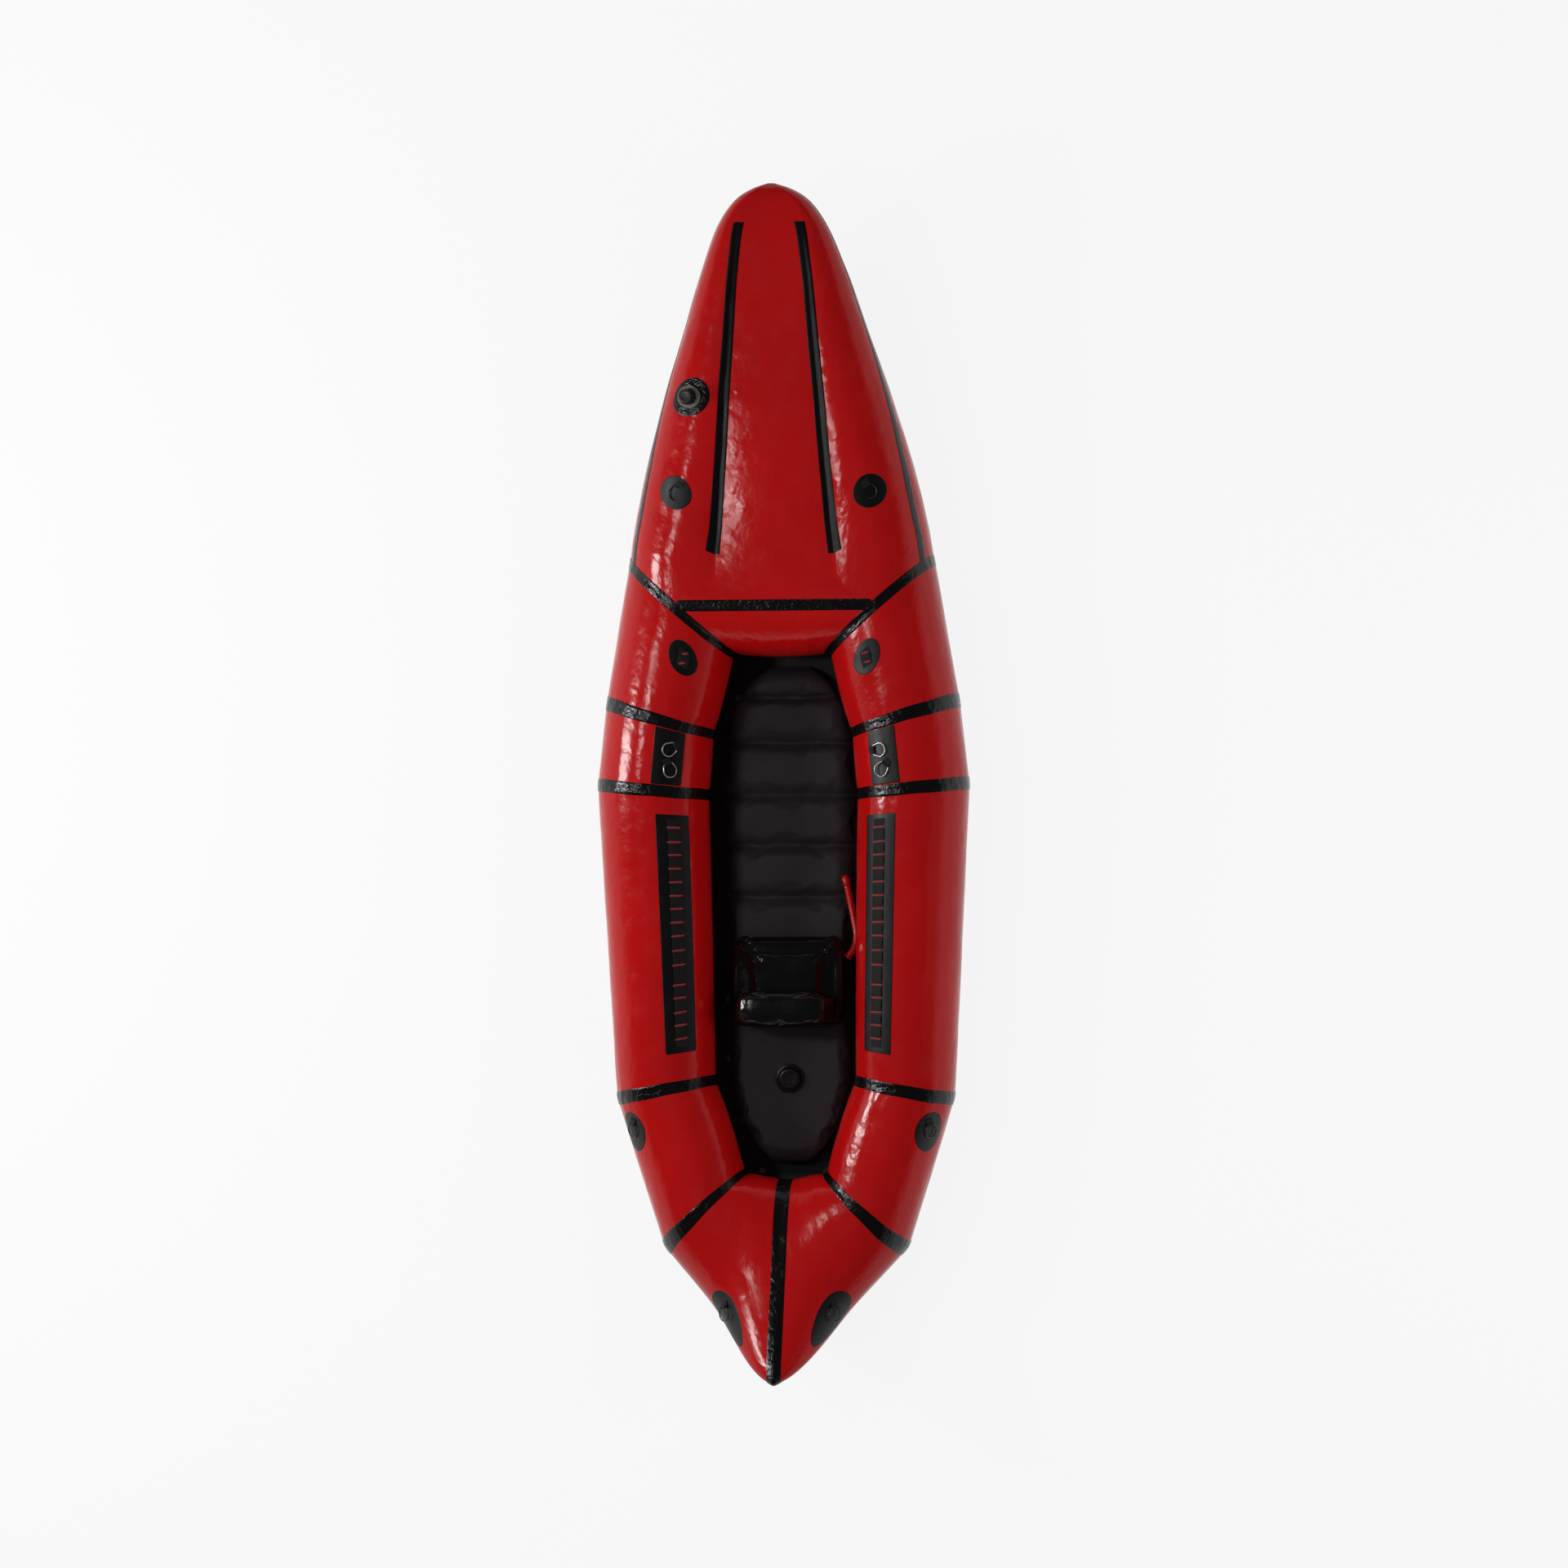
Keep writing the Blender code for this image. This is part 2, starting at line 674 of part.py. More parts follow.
def bow_baffle():
    """A folded web inside the bow that holds the deck down along both strips."""
    layers = []
    for level in (0.0, fabric_wall):
        rows = []
        for section in bow_sections()[first_strip_ring + 2:last_strip_ring + 2]:
            top = bow_rows(section, 0.0)[0][len(deck_row_shares) + 1]
            low = section[0].point(-90.0).z + fabric_wall + clearance * 3 + level
            high = top.z - fabric_wall - clearance * 5
            x = top.x - level
            rows.append([Vector((-x, top.y, high)), Vector((-x, top.y, low)),
                         Vector((x, top.y, low)), Vector((x, top.y, high))])
        layers.append(rows)
    bm = bmesh.new()
    add_sheet(bm, layers[0], layers[1])
    mesh_object("bow_baffle", bm, BLACK_FABRIC)


# Floor

def floor_outline():
    """Right half of the floor sheet's edge, from the bow end round to the stern."""
    front = rings["bow"].centre()
    found = [Vector((0, front.y + floor_front_reach)), Vector((front.x, front.y + floor_front_reach))]
    for name in seam_names[1:]:
        ring = rings[name]
        reach = (ring.outer - ring.inner).normalized()
        centre = ring.centre()
        found.append(Vector((centre.x, centre.y)) + reach * floor_margin)
    stern = rings["stern"]
    found.append(Vector((0, stern.centre().y - floor_margin)))
    return found


def inner_half_width(y):
    """Half the cockpit's width between the tubes at this place along the raft."""
    edge = [rings[name].inner for name in seam_names]
    for a, b in zip(edge, edge[1:]):
        if b.y <= y <= a.y:
            return mix(a.x, b.x, (a.y - y) / (a.y - b.y))
    return edge[0].x if y > edge[0].y else edge[-1].x


def floor_sheet():
    data = bpy.data.curves.new("floor_sheet", "CURVE")
    data.dimensions = "2D"
    data.fill_mode = "BOTH"
    data.extrude = floor_thickness / 2
    right = floor_outline()
    outline = right + [Vector((-p.x, p.y)) for p in right[-2:0:-1]]
    splines = [outline]
    for side in (-1, 1):
        for name, share in drain_shares:
            following = ring_names[ring_names.index(name) + 1]
            inner = mix(rings[name].inner, rings[following].inner, share)
            hole = []
            for step in range(12):
                turn = 2 * math.pi * step / 12
                x = side * (inner.x - drain_inset + drain_diameter / 2 * math.cos(turn))
                hole.append(Vector((x, inner.y + drain_diameter / 2 * math.sin(turn))))
            splines.append(hole)
    for points in splines:
        spline = data.splines.new("POLY")
        spline.points.add(len(points) - 1)
        for spot, p in zip(spline.points, points):
            spot.co = (p.x, p.y, 0.0, 1.0)
        spline.use_cyclic_u = True
    place("floor_sheet", data, BLACK_FABRIC, Matrix.Translation((0, 0, floor_thickness / 2)))


def swell(value, power):
    return math.copysign(abs(value) ** power, value)


def mat_ends():
    front = rings["bow"].inner.y - mat_front_gap
    rear = rings["stern"].inner.y + mat_rear_gap
    return front, rear


def mat_stations():
    """Each cross-section of the mat: place along it, width share, thickness share, crease share."""
    front, rear = mat_ends()
    length = front - rear
    channel = mat_channel_half_width / length
    found = [(share, width, thick, 0.0) for share, width, thick in mat_end_shares]
    for number, share in enumerate(mat_channel_shares):
        width = 0.94 if number == 0 else 1.0
        found += [(share - channel, width, 0.985, 0.0), (share, width, 1 - mat_channel_depth_share, 0.0),
                  (share + channel, 1.0, 0.985, 0.0)]
        if number + 1 < len(mat_channel_shares):
            found.append((mix(share, mat_channel_shares[number + 1], 0.5), 1.0, 1.0, 0.0))
    for share in mat_aft_shares:
        crease = 1.0 if mat_crease_shares[0] < share < mat_crease_shares[1] else 0.0
        found.append((share, 1.0, 1.0, crease))
    found += [(1 - share, width, thick, 0.0) for share, width, thick in mat_end_shares[::-1]]
    return found


def mat_top():
    return floor_thickness + clearance + mat_thickness


def floor_mat():
    front, rear = mat_ends()
    base = floor_thickness + clearance
    rows = []
    for share, width, thick, crease in mat_stations():
        y = mix(front, rear, share)
        half = (inner_half_width(y) - mat_side_gap) * width
        high = mat_thickness * thick
        row = []
        for step in range(16):
            turn = 2 * math.pi * (step + 0.5) / 16
            x = half * swell(math.cos(turn), 0.60)
            if math.sin(turn) > 0:
                z = base + high * mix(0.45, 1.0, swell(math.sin(turn), 0.55))
            else:
                z = base + high * 0.45 * (1 - swell(-math.sin(turn), 0.40))
            row.append(Vector((x, y, z)))
        top = [Vector((-mat_crease_half_width, y, base + high)),
               Vector((0, y, base + high - crease * mat_crease_depth)),
               Vector((mat_crease_half_width, y, base + high))]
        row = row[:4] + [top[2], top[1], top[0]] + row[4:]
        low = [p for p in row if p.z < base + high * 0.02]
        for p in low:
            p.z = base
        rows.append(row)
    bm = bmesh.new()
    add_loft(bm, rows)
    mesh_object("floor_mat", bm, MAT_FABRIC)


# Seat

def add_pillow(bm, matrix, half_width, half_length, thickness, narrowing=0.0, both=False, count=22):
    """A crowned cushion with sides drawn in between its corners, standing on local z = 0."""
    rows = []
    shares = pillow_row_shares
    if both:
        upper = [(0.5 + share / 2, width) for share, width in pillow_row_shares[2:]]
        shares = [(1 - share, width) for share, width in upper[::-1]] + [(0.5, 1.012)] + upper
    for share, size in shares:
        row = []
        for step in range(count):
            turn = 2 * math.pi * (step + 0.5) / count
            u = swell(math.cos(turn), 0.38)
            v = swell(math.sin(turn), 0.38)
            x = u * (1 - pillow_drawn_in_share * (1 - v * v))
            y = v * (1 - pillow_drawn_in_share * (1 - u * u))
            x *= 1 - narrowing * (v + 1) / 2
            spot = Vector((x * half_width * size, y * half_length * size, share * thickness))
            row.append(matrix @ spot)
        rows.append(row)
    top = matrix @ Vector((0, 0, thickness))
    bottom = matrix @ Vector((0, 0, 0)) if both else None
    add_loft(bm, rows, top=top, bottom=bottom)


def seat_half_width():
    return inner_half_width(seat_front - seat_length / 2) - seat_side_gap


def seat_base():
    return mat_top() + clearance


def backrest_matrix():
    """Local y up the backrest, local z forward, with local z = 0 at its rear face."""
    lean = math.radians(90.0 + backrest_lean_degrees)
    foot_y = seat_front - seat_length * backrest_place_share
    foot_z = seat_base() + seat_height - clearance
    turn = Matrix.Rotation(math.radians(180.0), 4, "Z") @ Matrix.Rotation(lean, 4, "X")
    shift = Matrix.Translation((0, backrest_height / 2, -backrest_depth / 2))
    return Matrix.Translation((0, foot_y, foot_z)) @ turn @ shift


def hose_points():
    corner = Vector((seat_half_width(), seat_front, seat_base()))
    return [corner + Vector(offset) for offset in hose_route]


def facing(direction):
    return direction.to_track_quat("Z", "Y").to_matrix().to_4x4()


def seat():
    """The cushion with its hose outlet on the right, and the backrest behind it."""
    bm = bmesh.new()
    middle = Matrix.Translation((0, seat_front - seat_length / 2, seat_base()))
    add_pillow(bm, middle, seat_half_width(), seat_length / 2, seat_height)
    cushion = mesh_object("seat_cushion", bm, SEAT_FABRIC)
    start, second = hose_points()[:2]
    ahead = (second - start).normalized()
    centre = start - ahead * (clearance + hose_outlet_length / 2)
    bm = bmesh.new()
    bmesh.ops.create_cone(bm, cap_ends=True, segments=16, radius1=hose_collar_diameter / 2,
                          radius2=hose_collar_diameter / 2, depth=hose_outlet_length,
                          matrix=Matrix.Translation(centre) @ facing(ahead))
    weld_on(cushion, "hose_outlet", bm)
    bm = bmesh.new()
    add_pillow(bm, backrest_matrix(), seat_half_width() * 0.94, backrest_height / 2, backrest_depth,
               backrest_narrowing_share, both=True)
    mesh_object("seat_backrest", bm, SEAT_FABRIC)


# Places on the tube

def chain_place(place_on_hull):
    """Distance along the tubes' centres for a place given by its ring, share and angle."""
    name, share, angle = place_on_hull
    run = 0.0
    for first, second in zip(ring_names, ring_names[1:]):
        step = (rings[second].centre() - rings[first].centre()).length
        if first == name or (name.startswith("bow_") and second == name):
            if name.startswith("bow_"):
                return run + step * (1 - share), angle
            return run + step * share, angle
        run += step
    raise ValueError(name)


def facet_angles(name):
    """Angles of the facets' edges on this ring, from the inner side over the top to the bottom."""
    for section in bow_sections()[2:]:
        if section[0] is rings[name]:
            return upper_bow_angles(section) + [section[2]] + lower_rows(section[2], section[3])
    return inner_angles[inner_top:] + outer_angles


def stretch_at(run):
    """The two rings on either side of this run along the tubes, and the share of the way between."""
    for first, second in zip(ring_names, ring_names[1:]):
        step = (rings[second].centre() - rings[first].centre()).length
        if run <= step:
            return first, second, run / step
        run -= step
    raise ValueError(run)


def facet_edges(run):
    first, second, share = stretch_at(run)
    return [mix(a, b, share) for a, b in zip(facet_angles(first), facet_angles(second))]


def tube_point(run, angle, grow=0.0):
    """The point on the right tube's facets at this run along its centres and angle round it."""
    first, second, share = stretch_at(run)
    before, after = facet_angles(first), facet_angles(second)
    edges = [mix(a, b, share) for a, b in zip(before, after)]
    for i in range(len(edges) - 1):
        if edges[i + 1] <= angle <= edges[i]:
            break
    found = []
    for k in (i, i + 1):
        found.append(rings[first].point(before[k], grow).lerp(rings[second].point(after[k], grow), share))
    return found[0].lerp(found[1], (edges[i] - angle) / (edges[i] - edges[i + 1]))


def tube_frame(run, angle, side, grow=0.0):
    """A frame on the tube: x round the tube and outward, y along it to the bow, z off the surface."""
    step = fabric_wall
    spot = tube_point(run, angle, grow)
    forward = tube_point(run - step, angle, grow) - spot
    down = tube_point(run, angle - 0.1, grow) - spot
    spot, forward, down = flip([spot, forward, down], side)
    off = down.cross(forward).normalized() * side
    forward = forward.normalized()
    sideways = forward.cross(off).normalized()
    turn = Matrix((sideways, forward, off)).transposed().to_4x4()
    return Matrix.Translation(spot) @ turn


def local_radius(run, angle):
    first, second, share = stretch_at(run)
    ring = rings[first].between(rings[second], share)
    return (ring.point(angle + 1.0) - ring.point(angle - 1.0)).length / math.radians(2.0)


def surface_patch(run, angle, side, grow, ahead, sideways):
    """A point on the tube this far ahead and this far outward of a place."""
    degrees = math.degrees(sideways / local_radius(run, angle))
    return flip([tube_point(run - ahead, angle - degrees, grow)], side)[0]


def columns_within(run, angle, half, more=()):
    """Distances outward of a place at which a sheet bends with the facets, and its own columns."""
    radius = local_radius(run, angle)
    own = sorted({-half, half, *more})
    bends = [radius * math.radians(angle - edge) for edge in facet_edges(run)]
    kept = [bend for bend in bends if -half < bend < half and min(abs(bend - a) for a in own) > webbing_slack]
    return sorted(own + kept)


def kinks_within(run, half):
    """Distances ahead of a place at which the tube itself bends."""
    found = []
    at = 0.0
    for first, second in zip(ring_names, ring_names[1:]):
        at += (rings[second].centre() - rings[first].centre()).length
        if abs(run - at) < half:
            found.append(run - at)
    return sorted(found)


def add_patch(bm, place_on_hull, side, thickness, columns, reach):
    """A sheet that follows the facets; each column reaches its own distance ahead and back."""
    run, angle = chain_place(place_on_hull)
    grow = patch_grow(place_on_hull)
    kinks = kinks_within(run, max(reach(column) for column in columns))
    layers = []
    for level in (grow + thickness, grow):
        rows = []
        for column in columns:
            half = reach(column)
            most = half * 0.96
            spots = [-half] + [min(max(kink, -most), most) for kink in kinks] + [half]
            rows.append([surface_patch(run, angle, side, level, spot, column) for spot in spots])
        layers.append(rows)
    add_sheet(bm, layers[0], layers[1])


def add_rectangle_patch(bm, place_on_hull, side, length, width):
    run, angle = chain_place(place_on_hull)
    columns = columns_within(run, angle, width / 2)
    add_patch(bm, place_on_hull, side, patch_thickness, columns, lambda column: length / 2)


def add_round_patch(bm, place_on_hull, side, radius, thickness):
    run, angle = chain_place(place_on_hull)
    widest = radius * round_column_shares[-1]
    own = [radius * share * way for share in round_column_shares for way in (-1, 1)]
    columns = columns_within(run, angle, widest, own)
    add_patch(bm, place_on_hull, side, thickness, columns,
              lambda column: math.sqrt(radius ** 2 - column ** 2))


def patch_grow(place_on_hull):
    """How far off the facets a patch lies; the bow's are less even."""
    return clearance * 2.5 + (bow_patch_lift if place_on_hull[0].startswith("bow_") else 0.0)


def weld_level(place_on_hull):
    """How high a piece starts that is welded into a patch's upper face."""
    return patch_grow(place_on_hull) + patch_thickness * (1 - weld_depth_share)


def add_webbing(bm, place_on_hull, side, length, bar_shares, end):
    """Webbing along the tube, sewn down at its bars and standing a little proud between them."""
    run, angle = chain_place(place_on_hull)
    columns = columns_within(run, angle, webbing_width / 2)
    spots = [(bar_shares[0] - end, 0.0)]
    for a, b in zip(bar_shares, bar_shares[1:]):
        sewn = bartack_length / 2 / length
        spots += [(a - sewn, 0.0), (a + sewn, 0.0), (mix(a, b, 0.35), 1.0), (mix(a, b, 0.65), 1.0)]
    spots += [(bar_shares[-1], 0.0), (bar_shares[-1] + end, 0.0)]
    layers = []
    base = weld_level(place_on_hull)
    for level in (base + webbing_thickness, base):
        rows = []
        for share, rise in spots:
            rows.append([surface_patch(run, angle, side, level + rise * webbing_slack, -share * length,
                                       column) for column in columns])
        layers.append(rows)
    add_sheet(bm, layers[0], layers[1])


def lashings():
    """The long patches with their webbing, and the round patches with a short length of it."""
    for side, word in sides:
        bm = bmesh.new()
        add_rectangle_patch(bm, lash_place, side, lash_patch_length, lash_patch_width)
        strip = mesh_object(f"lash_strip_{word}", bm, WEBBING)
        bm = bmesh.new()
        add_webbing(bm, lash_place, side, lash_patch_length, lash_bar_shares, lash_end_share)
        weld_on(strip, f"lash_webbing_{word}", bm)
        bm = bmesh.new()
        add_round_patch(bm, loop_place, side, round_patch_radius, patch_thickness)
        carrier = mesh_object(f"loop_patch_{word}", bm, WEBBING)
        bm = bmesh.new()
        add_webbing(bm, loop_place, side, round_patch_radius * 2, loop_bar_shares, loop_end_share)
        weld_on(carrier, f"loop_webbing_{word}", bm)


# Rings in their tabs

ring_rim_radius = (ring_outer_diameter - ring_wire_diameter) / 2
ring_reach = ring_outer_diameter - ring_wire_diameter
eye_radius = ring_wire_diameter / 2 + eye_clearance
bar_height = tab_thickness * (1 - weld_depth_share) + eye_radius


class Fitting:
    """Where a ring's bar lies on a patch: x along the bar, y away from the ring, z off the patch."""

    def __init__(self, place_on_hull, side, ahead, outward, heading):
        run, angle = chain_place(place_on_hull)
        turn = math.radians(heading)
        run -= ahead + math.cos(turn) * ring_reach / 2
        outward -= side * math.sin(turn) * ring_reach / 2
        angle -= math.degrees(outward / local_radius(run, angle))
        self.place = (run, angle)
        self.side = side
        self.level = patch_grow(place_on_hull) + patch_thickness
        self.matrix = tube_frame(run, angle, side, self.level) @ Matrix.Rotation(turn, 4, "Z")
        self.turn = turn

    def drop(self, x, y):
        """How far the patch lies below the plane that touches it under the bar."""
        ahead = x * math.sin(self.turn) + y * math.cos(self.turn)
        outward = self.side * (x * math.cos(self.turn) - y * math.sin(self.turn))
        spot = surface_patch(*self.place, self.side, self.level, ahead, outward)
        return -(self.matrix.inverted() @ spot).z

    def ring_matrix(self):
        """The ring lies back as far as the patch under it lets it."""
        lift = Matrix.Translation((0, 0, bar_height))
        room = ring_wire_diameter / 2 + clearance * 2
        degrees = max_ring_tilt_degrees
        while degrees > -max_ring_tilt_degrees:
            tilt = lift @ Matrix.Rotation(math.radians(degrees), 4, "X")
            spots = [tilt @ Vector(p) for p in d_ring_points()[1:-1]]
            if all(p.z + self.drop(p.x, p.y) > room for p in spots):
                break
            degrees -= ring_tilt_step_degrees
        return self.matrix @ tilt

    def tab(self, bm):
        """A folded tab: two layers of webbing and an eye round the ring's bar."""
        outer = eye_radius + tab_thickness
        low = -tab_thickness * weld_depth_share - bar_height
        outside = [(tab_length, low), (tab_length / 2, low)]
        inside = [(tab_length, low + tab_thickness), (tab_length / 2, low + tab_thickness)]
        for degrees in (-90.0, -126.0, -162.0, 162.0, 126.0, 90.0, 55.0):
            turn = math.radians(degrees)
            outside.append((outer * math.cos(turn), outer * math.sin(turn)))
            inside.append((eye_radius * math.cos(turn), eye_radius * math.sin(turn)))
        outside.append((tab_length, low + tab_thickness * 2 + clearance))
        inside.append((tab_length, low + tab_thickness + clearance))
        layers = []
        for profile in (outside, inside):
            rows = []
            for y, z in profile:
                row = []
                for x in (-tab_width / 2, tab_width / 2):
                    sunk = max(0.0, self.drop(x, y)) if y > outer else 0.0
                    row.append(self.matrix @ Vector((x, y, z + bar_height - sunk)))
                rows.append(row)
            layers.append(rows)
        add_sheet(bm, layers[0], layers[1])


def d_ring_points():
    """A D-shaped ring in the local x-y plane, its bar along x through the origin."""
    half = ring_bar_length / 2
    points = [(half, 0.0, 0.0)]
    steps = 12
    for step in range(steps + 1):
        turn = math.pi * step / steps
        x = ring_rim_radius * math.cos(turn)
        y = -(ring_reach - ring_rim_radius) - ring_rim_radius * math.sin(turn)
        points.append((x, y, 0.0))
    points.append((-half, 0.0, 0.0))
    return points


def rings_and_tabs():
    for side, word in sides:
        bm = bmesh.new()
        add_rectangle_patch(bm, ring_patch_place, side, ring_patch_length, ring_patch_width)
        carrier = mesh_object(f"ring_patch_{word}", bm, WEBBING)
        for name, (ring_side, ahead, outward, heading) in steel_rings.items():
            if ring_side != side:
                continue
            fitting = Fitting(ring_patch_place, side, ahead * ring_patch_length,
                              outward * ring_patch_width, heading)
            wire(f"steel_ring_{name}", d_ring_points(), ring_wire_diameter, STEEL, True, 1,
                 fitting.ring_matrix())
            bm = bmesh.new()
            fitting.tab(bm)
            weld_on(carrier, f"steel_ring_tab_{name}", bm)
        for name, spot in tie_places.items():
            bm = bmesh.new()
            add_round_patch(bm, spot, side, round_patch_radius, patch_thickness)
            carrier_patch = mesh_object(f"tie_patch_{name}_{word}", bm, WEBBING)
            fitting = Fitting(spot, side, 0.0, 0.0, side * tie_headings[name])
            wire(f"tie_ring_{name}_{word}", d_ring_points(), ring_wire_diameter, BLACK_PLASTIC, True, 1,
                 fitting.ring_matrix())
            bm = bmesh.new()
            fitting.tab(bm)
            weld_on(carrier_patch, f"tie_tab_{name}_{word}", bm)


# Valves

def main_valve():
    bm = bmesh.new()
    add_round_patch(bm, main_valve_place, -1, valve_flange_radius, valve_flange_thickness)
    mesh_object("main_valve_flange", bm, BLACK_FABRIC)
    run, angle = chain_place(main_valve_place)
    base = patch_grow(main_valve_place) + valve_flange_thickness + clearance * 3
    frame = tube_frame(run, angle, -1, base)
    bore, outer = valve_bore_radius, valve_body_radius
    edge = valve_floor_height / 2
    profile = [(0.0, valve_floor_height), (bore, valve_floor_height), (bore, valve_body_height),
               (outer - edge, valve_body_height), (outer, valve_body_height - edge),
               (outer, 0.0), (0.0, 0.0)]
    turned("main_valve_body", profile, GREY_PLASTIC, frame)
    low = valve_floor_height + clearance
    rim = bore - clearance * 3
    turned("main_valve_diaphragm", [(0.0, low + diaphragm_thickness), (rim, low + diaphragm_thickness),
                                    (rim, low), (0.0, low)], BLACK_PLASTIC, frame)
    seat_height_here = valve_body_height + clearance
    spigot = valve_body_height - valve_spigot_length
    neck = bore - clearance
    cap = []
    count = cap_rib_count * 4
    heights = [(spigot, neck), (seat_height_here, neck), (seat_height_here, valve_cap_radius),
               (seat_height_here + valve_cap_height * 0.85, valve_cap_radius * 0.94)]
    for number, (z, radius) in enumerate(heights):
        row = []
        for step in range(count):
            turn = 2 * math.pi * step / count
            ribbed = number >= 2 and step % 4 in (2, 3)
            r = radius - (cap_rib_depth if ribbed else 0.0)
            row.append(Vector((r * math.cos(turn), r * math.sin(turn), z)))
        cap.append(row)
    top = seat_height_here + valve_cap_height
    rim_radius = (valve_cap_radius - cap_rib_depth) * 0.85
    cap.append([Vector((rim_radius * math.cos(2 * math.pi * s / count),
                        rim_radius * math.sin(2 * math.pi * s / count), top)) for s in range(count)])
    bm = bmesh.new()
    add_loft(bm, cap)
    mesh_object("main_valve_cap", bm, BLACK_PLASTIC, frame)


def spring_points(radius, low, high):
    count = int(spring_turns * 10)
    points = []
    for step in range(count + 1):
        turn = 2 * math.pi * spring_turns * step / count
        points.append((radius * math.cos(turn), radius * math.sin(turn), mix(low, high, step / count)))
    return points


def mat_valve():
    front, rear = mat_ends()
    frame = Matrix.Translation((0, mix(front, rear, mat_valve_share), mat_top() + clearance))
    flange, boss = mat_flange_thickness, mat_boss_height
    bore, floor = mat_bore_radius, mat_flange_thickness / 2
    turned("mat_valve_body", [(0.0, floor), (bore, floor), (bore, boss), (mat_boss_radius, boss),
                              (mat_boss_radius, flange), (mat_valve_radius - floor, flange),
                              (mat_valve_radius, floor), (mat_valve_radius, 0.0), (0.0, 0.0)],
           BLACK_PLASTIC, frame)
    head = boss - clearance
    disc = head - mat_flange_thickness
    stem = floor + plunger_travel + clearance * 3
    turned("mat_valve_plunger", [(0.0, head), (plunger_radius, head), (plunger_radius, disc),
                                 (plunger_stem_radius, disc), (plunger_stem_radius, stem), (0.0, stem)],
           BLACK_PLASTIC, frame, 16)
    radius = (plunger_radius + plunger_stem_radius) / 2
    half = spring_wire / 2 + clearance
    coils = spring_points(radius, floor + half, disc - half)
    wire("mat_valve_spring", coils, spring_wire, STEEL, False, 0, frame)
    low, high, wall = flange + clearance, mat_cap_height, mat_cap_wall
    outer, inner = mat_cap_radius, mat_cap_radius - mat_cap_wall
    profile = [(0.0, high), (outer - wall * 2, high), (outer - wall / 2, high - wall),
               (outer, high - wall * 2), (outer, low), (inner, low), (inner, high - wall * 2),
               (inner - wall, high - wall), (0.0, high - wall)]
    turned("mat_valve_cap", profile, BLACK_PLASTIC, frame, 24)


# Hose

def seat_hose():
    """The seat's hose, with a collar welded to the seat and a mouth valve on its far end."""
    points = hose_points()
    ahead = (points[1] - points[0]).normalized()
    collar = hose_collar_diameter / hose_diameter
    start = [points[0] + ahead * hose_collar_length * share for share in (0.0, 0.6, 1.0)]
    wire("seat_hose", start + points[1:], hose_diameter, RED_FABRIC, False, 2,
         widths=[collar, collar, 1.0] + [1.0] * (len(points) - 1))
    along = (points[-1] - points[-2]).normalized()
    frame = Matrix.Translation(points[-1] + along * clearance) @ facing(along)
    radius, length = mouth_valve_diameter / 2, mouth_valve_length
    profile = []
    steps = 5
    for step in range(steps + 1):
        angle = math.pi / 2 * step / steps
        profile.append((radius * math.sin(angle), length - radius * (1 - math.cos(angle))))
    turned("seat_hose_mouth_valve", profile + [(radius, 0.0), (0.0, 0.0)], RED_FABRIC, frame, 16)


tubes()
seam_tapes()
stern_centre_tape()
bow_panels()
cockpit_wall()
bow_seam_tape()
bow_deck_strips()
bow_baffle()
floor_sheet()
floor_mat()
seat()
seat_hose()
lashings()
rings_and_tabs()
main_valve()
mat_valve()
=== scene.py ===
"""Looks of the packraft: smooth skins, seams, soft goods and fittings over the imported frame.

All in metres, with the bow at +Y."""

import json
import math

import bpy
import numpy as np
from mathutils import Matrix, Vector
from mathutils.bvhtree import BVHTree

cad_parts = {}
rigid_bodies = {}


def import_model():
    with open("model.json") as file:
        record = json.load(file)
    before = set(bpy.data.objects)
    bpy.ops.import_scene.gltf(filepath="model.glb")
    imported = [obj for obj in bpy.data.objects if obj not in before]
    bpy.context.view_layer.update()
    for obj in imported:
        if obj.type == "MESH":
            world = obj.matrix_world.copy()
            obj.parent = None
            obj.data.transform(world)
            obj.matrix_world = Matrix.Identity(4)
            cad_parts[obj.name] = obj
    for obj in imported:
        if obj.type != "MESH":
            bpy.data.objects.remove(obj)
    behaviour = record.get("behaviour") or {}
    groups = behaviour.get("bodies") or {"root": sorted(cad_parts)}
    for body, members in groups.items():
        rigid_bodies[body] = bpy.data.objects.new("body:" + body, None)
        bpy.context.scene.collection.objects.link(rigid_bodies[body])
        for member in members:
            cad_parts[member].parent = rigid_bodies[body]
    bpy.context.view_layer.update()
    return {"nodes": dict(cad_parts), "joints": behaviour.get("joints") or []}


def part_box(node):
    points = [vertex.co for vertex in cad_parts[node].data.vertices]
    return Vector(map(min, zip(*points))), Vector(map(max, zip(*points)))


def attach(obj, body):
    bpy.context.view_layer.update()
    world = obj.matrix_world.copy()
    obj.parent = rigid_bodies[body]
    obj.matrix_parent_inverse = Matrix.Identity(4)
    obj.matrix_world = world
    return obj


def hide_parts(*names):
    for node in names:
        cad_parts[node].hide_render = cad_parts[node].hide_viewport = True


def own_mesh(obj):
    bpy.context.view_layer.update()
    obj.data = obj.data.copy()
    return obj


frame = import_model()

